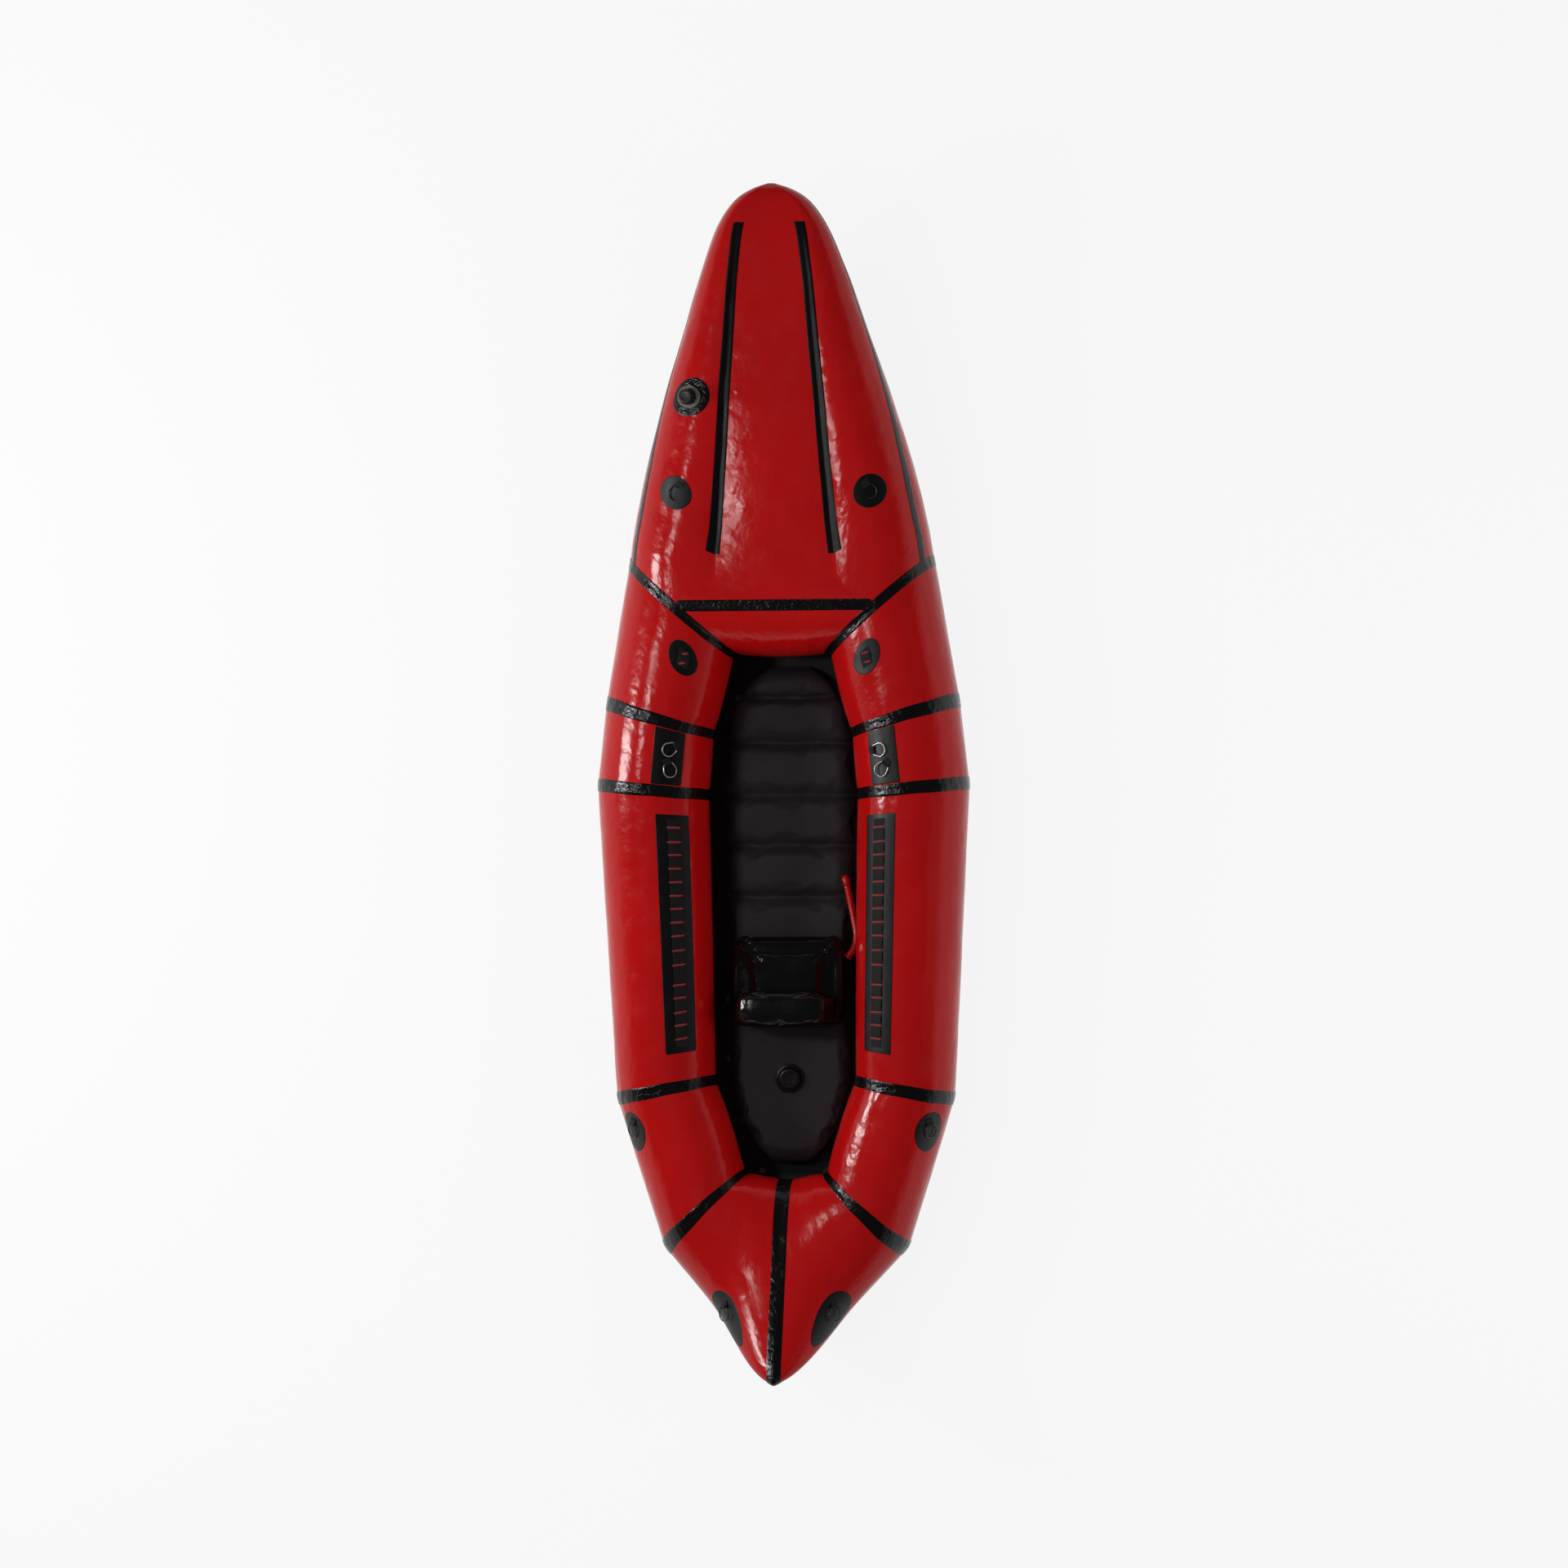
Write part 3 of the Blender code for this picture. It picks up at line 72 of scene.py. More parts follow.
# Sizes, the same as in the part's source
half_length = 1.45
half_beam = 0.4582
tube_radius = 0.1375
fabric_wall = 0.0010
clearance = 0.0003
tape_half = 0.015
tape_thickness = 0.0010
strip_half = 0.014
bow_tip_lift = 0.1450
stern_tip_lift = 0.2200
wall_bulge = 0.010
floor_thickness = 0.0015
mat_thickness = 0.055
patch_thickness = 0.0008
webbing_width = 0.030
ring_wire = 0.0030
ring_outer = 0.036
ring_bar = 0.026
tab_width = 0.018
tab_length = 0.0145
tab_thickness = 0.0011
seat_front = -0.36105
seat_length = 0.23896
seat_height = 0.075
seat_side_gap = 0.034
hose_diameter = 0.017
sole_height = floor_thickness + clearance * 2 + tape_thickness
seat_base = floor_thickness + clearance * 2 + mat_thickness
seam_angle = math.degrees(math.asin(0.069 / tube_radius))
tape_angle = math.degrees(tape_half / tube_radius)
hose_route = ((0.0035, -0.0620, 0.0239), (0.0178, -0.0444, 0.0225), (0.0246, -0.0280, 0.0200),
              (0.0269, -0.0104, 0.0168), (0.0254, 0.0037, 0.0141), (0.0175, 0.0408, 0.0090),
              (0.0096, 0.0779, 0.0056), (0.0017, 0.1150, 0.0036))
seam_shares = {
    "bow": (0.815, 0.376, 41.9, 1.000, 1.2465),
    "shoulder": (0.9457, 0.138, 16.3, 1.000, 0.9980),
    "waist": (0.996, 0.000, 5.0, 1.000, 1.0000),
    "quarter": (0.9057, -0.526, -10.0, 0.890, 1.0090),
    "stern": (0.6543, -0.777, -42.0, 0.890, 1.1020),
}
stern_shares = (
    (0.588, 0.42, 0.50, 0.20, 0.15),
    (0.126, 0.935, 0.10, 0.88, 0.41),
    (0.000, 1.000, 0.00, 1.00, 0.45),
)
bow_shares = (
    (0.7934, 0.4170, 30.0, 0.993, 0.04, 108.0, 0.339),
    (0.7706, 0.4530, 26.0, 0.985, 0.07, 114.0, 0.319),
    (0.7456, 0.4910, 20.0, 0.978, 0.11, 117.0, 0.301),
    (0.6266, 0.6270, 6.0, 0.870, 0.31, 112.0, 0.259),
    (0.4838, 0.7634, 0.0, 0.690, 0.55, 106.0, 0.222),
    (0.3754, 0.8655, 0.0, 0.520, 0.75, 101.0, 0.195),
    (0.2848, 0.9338, 0.0, 0.375, 0.89, 97.0, 0.163),
    (0.1844, 0.9752, 0.0, 0.255, 0.96, 95.0, 0.104),
    (0.0850, 0.9931, 0.0, 0.140, 0.99, 93.0, 0.051),
    (0.0140, 1.0000, 0.0, 0.022, 1.00, 91.0, 0.007),
)
seam_drop_shares = (1.0, 1.0, 0.97, 0.62, 0.18, -0.05, -0.20, -0.30, -0.30, -0.30)
drain_shares = (("bow", 0.55), ("shoulder", 0.55), ("waist", 0.30), ("waist", 0.72),
                ("waist", 0.93), ("quarter", 0.45), ("stern", 0.10))
lash_place = ("waist", 0.482, 118.5)
ring_patch_place = ("shoulder", 0.50, 111.5)
loop_place = ("bow", 0.36, 109.0)
tie_places = {"bow": ("bow_2", 0.13, 76.0), "quarter": ("quarter", 0.24, 38.0),
              "stern": ("stern_0", 0.32, 31.0)}
main_valve_place = ("bow_3", 0.17, 71.0)
lash_bar_shares = (-0.446, -0.385, -0.331, -0.274, -0.217, -0.160, -0.105, -0.048,
                   0.009, 0.070, 0.131, 0.215, 0.269, 0.330, 0.384, 0.441)
loop_bar_shares = (-0.145, 0.145)
mat_channel_shares = (0.060, 0.156, 0.260, 0.362, 0.463)

# Sizes of the looks alone
skin_sink = 0.0008
skin_blur = 0.007
seam_draw = 0.0009
pucker_depth = 0.00042
pucker_reach = 0.030
pucker_waves = ((17, 0.9, 0.0), (23, 1.0, 2.1), (31, 0.8, 4.4), (41, 0.5, 1.3))
stern_tip_gap = 0.0008
stern_tape_half = 0.0178
cross_tape_half = 0.0260
cross_tape_lift = 0.0004
tape_foot = clearance * 0.5
row_step = 0.0072
column_step = 0.0075
lash_length = 0.590
lash_width = 0.084
loop_length = 0.084
loop_bar_width = 0.024
loop_bar_leans = {-1: -0.70, 1: -0.42}
ring_patch_width = 0.078
ring_patch_length = 0.141
round_patch_radius = 0.042
webbing_thickness = 0.0012
webbing_slack = 0.0022
backrest_height = 0.086
backrest_depth = 0.084
bar_width = 0.034
bar_height = 0.0052
bar_foot = 0.0011
drain_radius = 0.009
drain_inset = 0.016
sheet_margin = 0.030
sheet_front_reach = 0.020
mat_front_gap = 0.030
mat_rear_gap = 0.024
sides = ((-1, "left"), (1, "right"))
white = (1.0, 1.0, 1.0, 1.0)
skyward = Vector((0, 0, 1))


def mix(a, b, share):
    return a + (b - a) * share


def hermite(t, low, high, low_slope, high_slope):
    """A smooth way from low to high with these slopes at its ends."""
    return ((2 * t ** 3 - 3 * t ** 2 + 1) * low + (t ** 3 - 2 * t ** 2 + t) * low_slope
            + (3 * t ** 2 - 2 * t ** 3) * high + (t ** 3 - t ** 2) * high_slope)


def paired(first, second):
    """Two arrays brought to one shape, as pairs of numbers."""
    return np.stack(np.broadcast_arrays(first, second), axis=-1)


def alike(*values):
    """Numbers and arrays brought to one shape."""
    return np.broadcast_arrays(*(np.asarray(value, float) for value in values))


def full_turn(count, shift=0.0):
    """Angles spread evenly over a full turn."""
    return 2 * np.pi * (np.arange(count) + shift) / count


def moved(matrix, points):
    """Points taken from a frame of their own to where its matrix puts them."""
    m = np.array(matrix)
    return np.asarray(points) @ m[:3, :3].T + m[:3, 3]


def placed(name, data):
    """A new object in the scene."""
    made = bpy.data.objects.new(name, data)
    bpy.context.scene.collection.objects.link(made)
    return made


def applied(made):
    """What an object's modifiers make of it, as a mesh; the object goes."""
    found = bpy.data.meshes.new_from_object(made.evaluated_get(bpy.context.evaluated_depsgraph_get()))
    bpy.data.objects.remove(made)
    return found


def set_inputs(tree, node, inputs):
    """Gives a node's inputs their numbers, or links them to other nodes' outputs."""
    for key, value in inputs.items():
        if isinstance(value, bpy.types.NodeSocket):
            tree.links.new(value, node.inputs[key])
        else:
            node.inputs[key].default_value = value


def new_node(tree, kind, inputs, **settings):
    made = tree.nodes.new(kind)
    for key, value in settings.items():
        setattr(made, key, value)
    set_inputs(tree, made, inputs)
    return made


# Camera, first of all

def make_camera():
    height, lean, pixel, roll = 20.0, 0.155, 0.001984, 0.30
    sensor, picture = 36.0, 1920
    aim = Vector((0.0015, 0.0, 0.14))
    spot = aim + Vector((lean * height, 0.0, height))
    data = bpy.data.cameras.new("camera")
    data.sensor_width = sensor
    data.lens = sensor * (spot - aim).length / (picture * pixel)
    data.clip_end = 60.0
    made = placed("camera", data)
    forward = (aim - spot).normalized()
    upward = Matrix.Rotation(math.radians(roll), 3, forward) @ Vector((0, 1, 0))
    right = forward.cross(upward).normalized()
    turn = Matrix((right, right.cross(forward), -forward)).transposed().to_4x4()
    made.matrix_world = Matrix.Translation(spot) @ turn
    bpy.context.scene.camera = made


make_camera()


# Materials

class Shader:
    """A Principled material with fine grain, weave and uneven colour, built from nodes."""

    def __init__(self, name, colour, roughness, coords="UV", metallic=0.0, specular=0.5, sheen=0.0):
        self.material = bpy.data.materials.new(name)
        self.material.use_nodes = True
        self.material.diffuse_color = (*colour, 1.0)
        self.tree = self.material.node_tree
        self.main = self.tree.nodes["Principled BSDF"]
        set_inputs(self.tree, self.main, {
            "Base Color": (*colour, 1.0), "Roughness": roughness, "Metallic": metallic,
            "Specular IOR Level": specular, "Sheen Weight": sheen, "Sheen Roughness": 0.4})
        self.coords = self.node("ShaderNodeTexCoord", {}).outputs[coords]
        self.colour = colour
        self.roughness = roughness
        self.last_normal = None

    def node(self, kind, inputs, **settings):
        return new_node(self.tree, kind, inputs, **settings)

    def noise(self, scale, detail, rough=0.5, distortion=0.0):
        return self.node("ShaderNodeTexNoise", {"Vector": self.coords, "Scale": scale, "Detail": detail,
                                                "Roughness": rough, "Distortion": distortion}).outputs["Fac"]

    def wave(self, pitch, direction):
        inputs = {"Vector": self.coords, "Scale": 2 * math.pi / 20 / pitch, "Distortion": 0.4,
                  "Detail Scale": 30.0}
        made = self.node("ShaderNodeTexWave", inputs, wave_type="BANDS", bands_direction=direction)
        return made.outputs["Fac"]

    def off_centre(self):
        """Distance from the centre line."""
        place = self.node("ShaderNodeSeparateXYZ", {"Vector": self.coords})
        return self.node("ShaderNodeMath", {0: place.outputs["X"]}, operation="ABSOLUTE").outputs["Value"]

    def spread(self, value, low, high, at=(0.3, 0.7)):
        return self.node("ShaderNodeMapRange", {"Value": value, "From Min": at[0], "From Max": at[1],
                                                "To Min": low, "To Max": high}).outputs["Result"]

    def tint(self, value, other, at=(0.35, 0.75)):
        """Colour that goes from the main one to another with a pattern."""
        source = self.main.inputs["Base Color"]
        before = source.links[0].from_socket if source.is_linked else (*self.colour, 1.0)
        inputs = {"A": before, "B": (*other, 1.0), "Factor": self.spread(value, 0.0, 1.0, at)}
        blend = self.node("ShaderNodeMix", inputs, data_type="RGBA")
        self.tree.links.new(blend.outputs["Result"], source)

    def uneven(self, value, by):
        found = self.spread(value, self.roughness - by, self.roughness + by)
        self.tree.links.new(found, self.main.inputs["Roughness"])

    def bump(self, value, depth):
        inputs = {"Strength": 1.0, "Distance": depth, "Height": value}
        if self.last_normal is not None:
            inputs["Normal"] = self.last_normal
        self.last_normal = self.node("ShaderNodeBump", inputs).outputs["Normal"]
        self.tree.links.new(self.last_normal, self.main.inputs["Normal"])

    def weave(self, pitch, depth):
        inputs = {0: self.wave(pitch, "X"), 1: self.wave(pitch, "Y")}
        self.bump(self.node("ShaderNodeMath", inputs, operation="MULTIPLY").outputs["Value"], depth)


def finish(name, colour, roughness, tints, spots=None, ribs=None, weave=None, bumps=(), **surface):
    """A material from its patterns.

    Tints are (scale, detail, colour, range), where no scale stands for the distance from the centre line.
    Spots of unlike roughness are (scale, detail, amount, rough), ribs are (pitch, direction, depth), a weave
    is (pitch, depth) and bumps are (scale, detail, depth, distortion).
    """
    made = Shader(name, colour, roughness, **surface)
    for scale, detail, other, *at in tints:
        made.tint(made.noise(scale, detail) if scale else made.off_centre(), other, *at)
    if spots:
        scale, detail, amount, *rough = spots
        made.uneven(made.noise(scale, detail, *rough), amount)
    if ribs:
        made.bump(made.wave(*ribs[:2]), ribs[2])
    if weave:
        made.weave(*weave)
    for scale, detail, depth, *distortion in bumps:
        made.bump(made.noise(scale, detail, 0.5, *distortion), depth)
    return made.material


def shade(colour, factor):
    return tuple(min(1.0, c * factor) for c in colour)


def coated(name, colour, roughness, specular, dust=1.35, sag=0.0009, thread_depth=0.00003, crinkles=(),
           coords="UV"):
    """Coated fabric: glossy, a little uneven, its weave showing faintly through."""
    tints = ((3.2, 4.0, shade(colour, 0.86)), (190.0, 2.0, shade(colour, dust), (0.55, 1.1)))
    return finish(name, colour, roughness, tints, (14.0, 4.0, 0.06, 0.6), weave=(0.0011, thread_depth),
                  bumps=((26.0, 2.0, sag), *crinkles), specular=specular, coords=coords)


def plastic(name, colour, roughness):
    return finish(name, colour, roughness, ((60.0, 3.0, shade(colour, 0.8)),), (140.0, 3.0, 0.08),
                  bumps=((1400.0, 2.0, 0.00004),), coords="Object")


red_fabric = coated("red_fabric", (0.560, 0.0055, 0.0062), 0.17, 0.23, 1.08, 0.0018, 0.000007)
tape_fabric = coated("tape_fabric", (0.0042, 0.0034, 0.0038), 0.16, 0.34, 1.5,
                     crinkles=((85.0, 2.0, 0.0013, 1.2),))
strip_fabric = coated("strip_fabric", (0.0040, 0.0032, 0.0036), 0.32, 0.22, 1.5, 0.0004)
floor_fabric = coated("floor_fabric", (0.0050, 0.0046, 0.0052), 0.42, 0.3, 1.6)
patch_fabric = finish("patch_fabric", (0.0046, 0.0048, 0.0052), 0.38,
                      ((9.0, 4.0, (0.0034, 0.0036, 0.0038)), (420.0, 1.0, (0.011, 0.011, 0.013), (0.6, 1.1))),
                      (24.0, 3.0, 0.08), weave=(0.0016, 0.00008), specular=0.3)
webbing_colour = (0.0090, 0.0082, 0.0090)
webbing = finish("webbing", webbing_colour, 0.62,
                 ((30.0, 4.0, shade(webbing_colour, 0.6)),
                  (900.0, 1.0, shade(webbing_colour, 1.8), (0.6, 1.1))),
                 ribs=(0.0022, "Y", 0.00025), weave=(0.0013, 0.00018), specular=0.3, sheen=0.06)
thread = finish("thread", (0.42, 0.020, 0.022), 0.62, ((150.0, 2.0, (0.30, 0.010, 0.012)),),
                ribs=(0.0009, "X", 0.0004), sheen=0.3)
# The tint by distance from the centre line darkens the mat towards its sides: painted shade on its rounded
# shoulders, which fall away from the light.
mat_fabric = finish("mat_fabric", (0.0310, 0.0285, 0.0330), 0.50,
                    ((7.0, 4.0, (0.0240, 0.0215, 0.0255)), (0, 0, (0.0060, 0.0056, 0.0064), (0.112, 0.146)),
                     (500.0, 1.0, (0.030, 0.030, 0.034), (0.58, 1.1))),
                    (18.0, 3.0, 0.06), weave=(0.0012, 0.00007), bumps=((32.0, 3.0, 0.0006),), specular=0.3,
                    sheen=0.05, coords="Object")
seat_fabric = finish("seat_fabric", (0.0040, 0.0047, 0.0043), 0.19, ((8.0, 4.0, (0.0030, 0.0035, 0.0032)),),
                     (22.0, 4.0, 0.07, 0.6), bumps=((60.0, 2.0, 0.0005), (420.0, 1.0, 0.00004)),
                     specular=0.30, coords="Object")
steel = finish("steel", (0.78, 0.72, 0.69), 0.34, ((220.0, 3.0, (0.50, 0.44, 0.42)),), (700.0, 2.0, 0.10),
               bumps=((1500.0, 2.0, 0.00003),), metallic=1.0, coords="Object")
red_hose = finish("red_hose", (0.54, 0.0065, 0.0070), 0.26, ((40.0, 3.0, (0.40, 0.008, 0.010)),),
                  (90.0, 3.0, 0.07), bumps=((500.0, 2.0, 0.00008),), specular=0.35, coords="Object")
black_plastic = plastic("black_plastic", (0.0062, 0.0062, 0.0070), 0.30)
ring_plastic = plastic("ring_plastic", (0.0095, 0.0088, 0.0088), 0.28)
grey_plastic = plastic("grey_plastic", (0.20, 0.19, 0.155), 0.36)


# Meshes

def mesh_of(name, points, quads, triangles, uvs=None, sharp=40.0):
    """A closed mesh from arrays, turned so that its faces look outward."""
    points = np.asarray(points, float).reshape(-1, 3)
    quads = np.asarray(quads, int).reshape(-1, 4)
    triangles = np.asarray(triangles, int).reshape(-1, 3)
    a = np.concatenate([quads[:, [0, 1, 2]], quads[:, [0, 2, 3]], triangles])
    volume = np.einsum("ij,ij->i", points[a[:, 0]], np.cross(points[a[:, 1]], points[a[:, 2]])).sum()
    if volume < 0:
        quads = quads[:, ::-1]
        triangles = triangles[:, ::-1]
    mesh = bpy.data.meshes.new(name)
    loops = np.concatenate([quads.ravel(), triangles.ravel()])
    starts = np.concatenate([np.arange(len(quads)) * 4, len(quads) * 4 + np.arange(len(triangles)) * 3])
    mesh.vertices.add(len(points))
    mesh.vertices.foreach_set("co", points.ravel())
    mesh.loops.add(len(loops))
    mesh.loops.foreach_set("vertex_index", loops)
    mesh.polygons.add(len(starts))
    mesh.polygons.foreach_set("loop_start", starts)
    mesh.update(calc_edges=True)
    if uvs is not None:
        layer = mesh.uv_layers.new(name="UVMap")
        layer.data.foreach_set("uv", np.asarray(uvs, float).reshape(-1, 2)[loops].ravel())
    mesh.shade_smooth()
    if sharp:
        mesh.set_sharp_from_angle(angle=math.radians(sharp))
    return mesh


def grid_quads(rows, columns, around, start=0, flip=False):
    index = np.arange(rows * columns).reshape(rows, columns) + start
    right = np.roll(index, -1, axis=1) if around else index[:, 1:]
    left = index if around else index[:, :-1]
    quads = np.stack([left[:-1], right[:-1], right[1:], left[1:]], axis=-1).reshape(-1, 4)
    return quads[:, ::-1] if flip else quads


def sheet_mesh(name, outer, inner, around, uvs, sharp=40.0):
    """Two grids of points joined at their edges: a closed sheet."""
    rows, columns = outer.shape[:2]
    count = rows * columns
    index = np.arange(count).reshape(rows, columns)
    parts = [grid_quads(rows, columns, around), grid_quads(rows, columns, around, count, True)]
    for line, turn in ((index[0], True), (index[-1], False)):
        ahead = np.roll(line, -1) if around else line[1:]
        here = line if around else line[:-1]
        rim = np.stack([here, ahead, ahead + count, here + count], axis=-1)
        parts.append(rim[:, ::-1] if turn else rim)
    if not around:
        for line, turn in ((index[:, 0], False), (index[:, -1], True)):
            rim = np.stack([line[:-1], line[1:], line[1:] + count, line[:-1] + count], axis=-1)
            parts.append(rim[:, ::-1] if turn else rim)
    points = np.concatenate([outer.reshape(-1, 3), inner.reshape(-1, 3)])
    return mesh_of(name, points, np.concatenate(parts), [], np.concatenate([uvs.reshape(-1, 2)] * 2), sharp)


def loft_mesh(name, rings, first=None, last=None, uvs=None, sharp=40.0):
    """A closed surface through loops of points, with a point at each end."""
    rings = np.asarray(rings, float)
    rows, columns = rings.shape[:2]
    first = rings[0].mean(axis=0) if first is None else np.asarray(first, float)
    last = rings[-1].mean(axis=0) if last is None else np.asarray(last, float)
    points = np.concatenate([rings.reshape(-1, 3), [first, last]])
    line = np.arange(columns)
    ahead = np.roll(line, -1)
    low = np.stack([ahead, line, np.full(columns, rows * columns)], axis=-1)
    top = (rows - 1) * columns
    high = np.stack([line + top, ahead + top, np.full(columns, rows * columns + 1)], axis=-1)
    if uvs is not None:
        flat = uvs.reshape(-1, 2)
        uvs = np.concatenate([flat, [flat[:columns].mean(axis=0), flat[-columns:].mean(axis=0)]])
    return mesh_of(name, points, grid_quads(rows, columns, True), np.concatenate([low, high]), uvs, sharp)


def read(items, key, width=1, kind=float):
    """A number, or a row of numbers, for each item of a mesh."""
    found = np.zeros(len(items) * width, kind)
    items.foreach_get(key, found)
    return found.reshape(-1, width) if width > 1 else found


def points_of(mesh):
    return read(mesh.vertices, "co", 3)


def set_points(mesh, points):
    mesh.vertices.foreach_set("co", points.ravel())
    mesh.update()
    mesh.shade_smooth()


def join_meshes(name, meshes):
    """Several meshes as one, each keeping its own faces."""
    points, quads, triangles, uvs, start = [], [], [], [], 0
    for mesh in meshes:
        index = read(mesh.loops, "vertex_index", kind=int)
        uv = np.zeros((len(mesh.vertices), 2))
        uv[index] = read(mesh.uv_layers[0].data, "uv", 2)
        first = read(mesh.polygons, "loop_start", kind=int)
        total = read(mesh.polygons, "loop_total", kind=int)
        quads.append(index[first[total == 4][:, None] + np.arange(4)] + start)
        triangles.append(index[first[total == 3][:, None] + np.arange(3)] + start)
        points.append(points_of(mesh))
        uvs.append(uv)
        start += len(mesh.vertices)
        bpy.data.meshes.remove(mesh)
    return mesh_of(name, np.concatenate(points), np.concatenate(quads), np.concatenate(triangles),
                   np.concatenate(uvs))


def piece(name, data, material, body, slot, *nodes):
    """Puts a piece in the scene on its body, in place of its nodes."""
    made = placed(name, data)
    if not data.materials:
        data.materials.append(material)
    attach(made, body)
    if nodes:
        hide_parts(*nodes)
    return made


# Rings that the hull is drawn through, as rows of numbers

def seam_row(name):
    x, y, angle, radius, stretch = seam_shares[name]
    radius *= tube_radius
    turn = math.radians(angle)
    ox, oy = x * half_beam, y * half_length
    ix, iy = ox - 2 * radius * stretch * math.cos(turn), oy - 2 * radius * stretch * math.sin(turn)
    return [ox, oy, ix, iy, sole_height + radius, radius, 0.0, 0.0, math.hypot(ox - ix, oy - iy) / 2, 90.0,
            seam_angle]


def bow_row(number):
    x, y, angle, radius, lift, valley, strip = bow_shares[number]
    radius *= tube_radius
    turn = math.radians(angle)
    ox, oy = x * half_beam, y * half_length
    ix, iy = ox - 2 * radius * math.cos(turn), oy - 2 * radius * math.sin(turn)
    reach = (ox + ix) / 2 - strip * half_beam
    span = reach / (math.cos(turn) * -math.cos(math.radians(valley)))
    middle = sole_height + tube_radius + lift * bow_tip_lift
    return [ox, oy, ix, iy, middle, radius, 0.0, 0.0, span, valley, seam_angle * seam_drop_shares[number]]


def hull_table():
    names = [f"bow_{n}" for n in range(len(bow_shares) - 1, -1, -1)] + list(seam_shares)
    rows = [bow_row(n) for n in range(len(bow_shares) - 1, -1, -1)] + [seam_row(n) for n in seam_shares]
    last = rows[-1]
    for number, (x, aft, inner_share, lift, thinning) in enumerate(stern_shares):
        outer = (x * last[0], mix(last[1], -half_length, aft))
        inner = (inner_share * last[2], mix(last[3], last[3] - tape_half, aft))
        names.append(f"stern_{number}")
        rows.append([*outer, *inner, last[4], last[5], lift * stern_tip_lift, thinning,
                     math.dist(outer, inner) / 2, 90.0, seam_angle])
    return names, np.array(rows)


ring_names, ring_rows = hull_table()
centres = np.column_stack([(ring_rows[:, 0] + ring_rows[:, 2]) / 2, (ring_rows[:, 1] + ring_rows[:, 3]) / 2,
                           ring_rows[:, 4]])
knots = np.concatenate([[0.0], np.cumsum(np.linalg.norm(np.diff(centres, axis=0), axis=1))])
run_of = dict(zip(ring_names, knots))


def slopes(x, y):
    """Slopes of a curve through points that doesn't overshoot them."""
    h = np.diff(x)[:, None]
    d = np.diff(y, axis=0) / h
    found = np.zeros_like(y)
    found[0], found[-1] = d[0], d[-1]
    w1, w2 = 2 * h[1:] + h[:-1], h[1:] + 2 * h[:-1]
    same = d[:-1] * d[1:] > 0
    with np.errstate(divide="ignore", invalid="ignore"):
        inner = (w1 + w2) / (w1 / d[:-1] + w2 / d[1:])
    found[1:-1] = np.where(same, inner, 0.0)
    return found


groups = ((0, ring_names.index("bow")), (ring_names.index("stern"), len(ring_names) - 1))
group_slopes = [slopes(knots[a:b + 1], ring_rows[a:b + 1]) for a, b in groups]


def ring_values(run):
    """The rings' numbers anywhere along the hull: smooth in the bow and stern, straight between seams."""
    run = np.asarray(run, float)
    k = np.clip(np.searchsorted(knots, run, side="right") - 1, 0, len(knots) - 2)
    t = ((run - knots[k]) / (knots[k + 1] - knots[k]))[..., None]
    low, high = ring_rows[k], ring_rows[k + 1]
    found = low + (high - low) * t
    h = (knots[k + 1] - knots[k])[..., None]
    for (a, b), slope in zip(groups, group_slopes):
        j = np.clip(k - a, 0, b - a - 1)
        curve = hermite(t, low, high, h * slope[j], h * slope[j + 1])
        found = np.where(((k >= a) & (k < b))[..., None], curve, found)
    return found


def ellipse(values, degrees, grow):
    """Points on rings, as in the part's source, for the right side."""
    turn = np.radians(degrees)
    outer, inner = values[..., 0:2], values[..., 2:4]
    reach = outer - inner
    full = np.linalg.norm(reach, axis=-1)
    reach = reach / full[..., None]
    span = np.where((np.cos(turn) < 0) & (np.sin(turn) > 0), values[..., 8], full / 2)
    outward = (1 + np.cos(turn)) / 2
    along = (span + grow) * np.cos(turn)
    up = (values[..., 5] * (1 - values[..., 7] * outward) + grow) * np.sin(turn)
    flat = (outer + inner) / 2 + reach * along[..., None]
    return np.concatenate([flat, (values[..., 4] + up + values[..., 6] * outward ** 2)[..., None]], axis=-1)


seam_runs = [run_of[name] for name in seam_shares] + [knots[-1]]


def dents(run, degrees, side):
    """How far the inflated skin stands off its plain form: drawn in and puckered beside each seam."""
    turn = np.radians(degrees)
    found = 0.00030 * np.sin(run * 21.0 + 2 * turn + side) * np.sin(3 * turn + run * 9.0)
    found = found + 0.00022 * np.sin(run * 47.0 + 5 * turn + 1.7 * side) * np.sin(4 * turn - run * 17.0)
    for number, seam in enumerate(seam_runs):
        away = np.abs(run - seam)
        near = np.exp(-away / pucker_reach)
        waves = 0.0
        for count, size, phase in pucker_waves:
            lead = phase + number * 1.9 + side * 0.7 + np.sign(run - seam) * 0.8
            waves = waves + size * np.sin(count * turn + lead + away * 18.0)
        gate = 0.55 + 0.45 * np.sin(3 * turn + number * 2.3 + side * 1.1)
        found = found - seam_draw * near + pucker_depth * near * gate * waves
    return found


def skin(run, degrees, grow, side=1):
    """A point on the inflated skin of the right or left tube."""
    run, degrees, grow = alike(run, degrees, grow)
    level = grow - skin_sink + dents(run, degrees, side)
    found = 0.0
    for shift, weight in ((-skin_blur, 0.25), (0.0, 0.5), (skin_blur, 0.25)):
        near = np.clip(run + shift, 0.0, knots[-1])
        found = found + weight * ellipse(ring_values(near), degrees, level)
    found[..., 0] *= side
    return found


